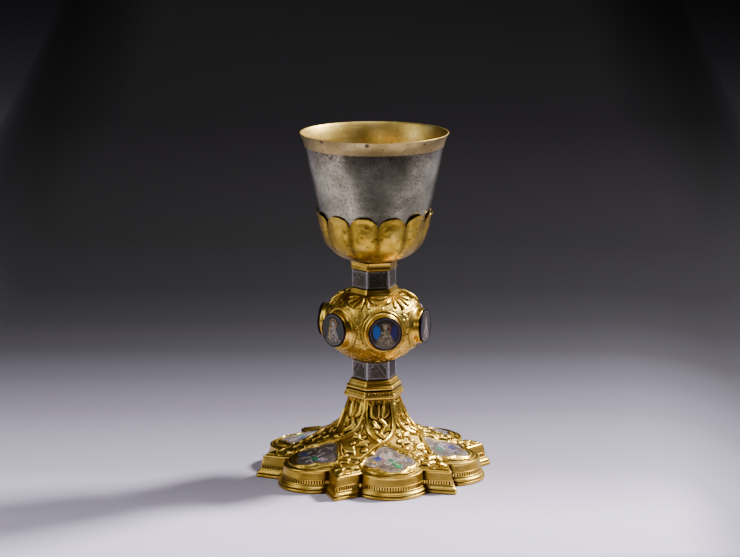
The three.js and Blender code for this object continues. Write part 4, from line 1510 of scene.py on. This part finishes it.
bowlSize = {
    "wall": 1.0,
    "columns": 240,
    "bandBottom": 201.7,
    # dark stains near the rim: bearing in degrees, height, size
    "stains": [(-56, 208.9, 1.5), (-17, 208.4, 1.9), (-50, 199.0, 1.6), (2, 199.5, 1.4), (31, 207.5, 1.1)],
    "roundTop": 150.0,
    "bottom": 133.4,
}
# the wall's outside: [radius, height]
bowlWallProfile = [
    (31.2, 150), (33.9, 163), (35.0, 168), (37.0, 177.5), (38.9, 186.5), (40.5, 195), (41.5, 200.2),
    (41.9, 202), (42.9, 205.4), (44.1, 208.2), (44.95, 209.7),
]


def bowlRound(z):
    # radius of the round bottom
    cone = mix(33.9, 41.8, (z - 163) / 38.5)
    below = np.clip((bowlSize["roundTop"] - z) / 17.3, 0, 1)
    return cone * (1 - below**2.6) ** (1 / 2.6)


def buildBowl():
    wall = curveThrough(bowlWallProfile, 5)
    rise = (bowlSize["roundTop"] - bowlSize["bottom"]) * np.linspace(0, 1, 16, endpoint=False) ** 1.8
    low = np.array([(bowlRound(z), z) for z in bowlSize["bottom"] + rise])
    outer = np.vstack([low, wall])
    lip = [(44.98, 209.85), (44.85, 210.0), (44.35, 210.0), (44.1, 209.85)]
    inner = outer[::-1] - [bowlSize["wall"], 0]
    inner[:, 0] = np.maximum(inner[:, 0], 0.5)
    inner[:, 1] = np.maximum(inner[:, 1], bowlSize["bottom"] + bowlSize["wall"])
    inner = inner[inner[:, 1] < 209.6]
    profile = np.vstack([outer, lip, inner])
    bearing = np.linspace(-math.pi, math.pi, bowlSize["columns"], endpoint=False)
    radius = np.broadcast_to(profile[:, 0][:, None], (len(profile), len(bearing)))
    z = np.broadcast_to(profile[:, 1][:, None], radius.shape)
    grid = polar(bearing[None, :], radius, z)
    # a raised sheet is never quite round: shallow dents
    flat = grid.reshape(-1, 3)
    dents = wobble(flat, 0.045, 5).reshape(radius.shape) * 0.22 * smooth(150, 170, z) * smooth(209, 200, z)
    grid = polar(bearing[None, :], radius + dents, z)
    outside = np.arange(len(profile)) < len(outer)
    band = 0.66 * smooth(bowlSize["bandBottom"] - 0.15, bowlSize["bandBottom"] + 0.15, z)
    gilt = np.where(outside[:, None], band, 1.0)
    belowBand = smooth(0.9, 0.1, np.abs(z - bowlSize["bandBottom"] + 0.35))
    stained = 1.3 * smooth(12, 0, bowlSize["bandBottom"] - z) * (z < bowlSize["bandBottom"])
    dark = np.maximum(np.maximum(0.95 * belowBand, 0.6 * stained), 0.3 * band)
    # painted shade just above the calyx
    dark = np.maximum(dark, 0.5 * smooth(5, 0, z - 160))
    patinaAndShade = np.where(outside[:, None], dark, 0.2)
    for turn, level, size in bowlSize["stains"]:
        apart = np.hypot((bearing[None, :] - math.radians(turn)) * 44, z - level) / size
        patinaAndShade = np.maximum(patinaAndShade, np.where(outside[:, None], 1.3 * smooth(1.2, 0.4, apart), 0))
    piece = roundPiece("silver_bowl", grid, bowlSilver, {"gilding": gilt, "patinaAndShade": patinaAndShade}, sharp=50)
    place(piece, "silver", "bowl")


buildBowl()
print("bowl")


# calyx

calyxSize = {
    "petals": 12,
    "perPetal": 30,
    "turn": 7.5,
    "top": 162.9,
    "notch": 156.2,
    "sheet": 0.55,
    "bottom": 132.5,
    "curled": (1, 2),  # petals whose tips stand off
    "dented": (0, 11, 5, 8),  # petals pressed in below their tips
    "dentDepth": 0.15,
    "groove": 1.2,
    "swell": 0.8,
}
# the calyx's outside in the middle of a petal: [radius, height]
calyxProfile = [
    (12.0, 132.5), (17.0, 133.3), (19.9, 134.3), (22.9, 135.9), (25.2, 137.6), (27.1, 139.6),
    (29.3, 142.9), (31.1, 146.5), (32.7, 151.0), (33.7, 156.0), (34.5, 160.0), (35.0, 163.8),
]


def buildCalyx():
    perPetal = calyxSize["perPetal"]
    count = calyxSize["petals"] * perPetal
    column = np.arange(count)
    petal = (column + perPetal // 2) // perPetal % calyxSize["petals"]
    s = 2 * ((column + perPetal / 2) % perPetal / perPetal - 0.5)  # -1 to 1 across a petal
    bearing = math.radians(calyxSize["turn"]) + column * 2 * math.pi / count
    random = np.random.RandomState(12)
    rise = random.uniform(-0.5, 0.5, calyxSize["petals"])[petal]
    tilt = random.uniform(-0.35, 0.35, calyxSize["petals"])[petal]
    curl = random.uniform(0.0, 0.5, calyxSize["petals"])[petal]
    curl = np.where(np.isin(petal, calyxSize["curled"]), 1.1, curl)
    dented = np.where(np.isin(petal, calyxSize["dented"]), 1.0, 0.25)
    arch = np.clip(1 - np.abs(s) ** 2.3, 0, 1) ** 0.55
    edge = calyxSize["notch"] + (calyxSize["top"] + rise - calyxSize["notch"]) * arch
    edge += tilt * s * (1 - np.abs(s) ** 4)
    profile = curveThrough(calyxProfile, 8)
    share = np.concatenate([np.linspace(0, 0.9, 46) ** 1.25, np.linspace(0.9 ** 1.25, 1, 16)[1:]])
    z = calyxSize["bottom"] + (edge[None, :] - calyxSize["bottom"]) * share[:, None]
    # the sheet follows the bowl, sunk between the petals and swelling in their middles
    base = np.interp(z, profile[:, 1], profile[:, 0])
    between = np.exp(-(((1 - np.abs(s)) / 0.32) ** 2))
    groove = calyxSize["groove"] * smooth(0.02, 0.35, share)[:, None] * between[None, :]
    swell = calyxSize["swell"] * (1 - s**2)[None, :] * smooth(0.1, 0.6, share)[:, None]
    radius = base - groove + swell - 0.55
    tipFlare = curl[None, :] * smooth(0.88, 1, share)[:, None]
    pressed = np.exp(-(((share[:, None] - 0.86) / 0.1) ** 2) - ((s[None, :] - 0.05) / 0.6) ** 2)
    dent = dented[None, :] * calyxSize["dentDepth"] * pressed
    flat = polar(bearing[None, :] + 0 * z, radius, z).reshape(-1, 3)
    uneven = wobble(flat, 0.16, 2).reshape(z.shape) * 0.28 + wobble(flat, 0.4, 4).reshape(z.shape) * 0.1
    radius = radius + tipFlare - dent + uneven * smooth(0, 0.2, share)[:, None]
    # the bowl's radius at each height: its wall above, its round bottom below
    wallRadius, wallHeight = np.transpose(bowlWallProfile[:3])
    onWall = np.interp(z, wallHeight, wallRadius)
    clear = np.where(z < bowlSize["roundTop"], bowlRound(np.minimum(z, bowlSize["roundTop"])), onWall)
    radius = np.maximum(radius, clear + 0.25 + calyxSize["sheet"])
    outer = polar(bearing[None, :] + 0 * z, radius, z)
    thin = polar(bearing[None, :] + 0 * z, np.maximum(radius - calyxSize["sheet"], clear + 0.15), z)
    lower = np.maximum(thin[..., 2], bowlSize["bottom"] - 0.3)
    thin[..., 2] = np.where(share[:, None] < 0.06, lower, thin[..., 2])
    inner = thin[::-1][[0, 2, 6, 12, 20, 28, 36, 44, 52, 58]]
    grid = np.concatenate([outer, inner])
    # darker along the grooves between petals and towards the bottom
    alongGrooves = 0.56 * np.exp(-(((1 - np.abs(s)) / 0.36) ** 2))
    patinaAndShade = alongGrooves[None, :] * smooth(0.02, 0.3, share)[:, None]
    patinaAndShade = np.maximum(patinaAndShade, 0.5 * smooth(0.2, 0.0, share)[:, None])
    # painted shade in the dents below the tips
    patinaAndShade = np.maximum(patinaAndShade, 2.4 * dent)
    patinaAndShade = np.maximum(patinaAndShade, 0.4 * smooth(0.08, 0.3, uneven))
    # painted shade on the inside, in the gap to the bowl
    patinaAndShade = np.concatenate([patinaAndShade, np.full((len(inner), count), 0.8)])
    piece = roundPiece("calyx_petals", grid, pittedGilding, {"patinaAndShade": patinaAndShade}, sharp=50)
    place(piece, "gilt", "calyx")


buildCalyx()
print("calyx")
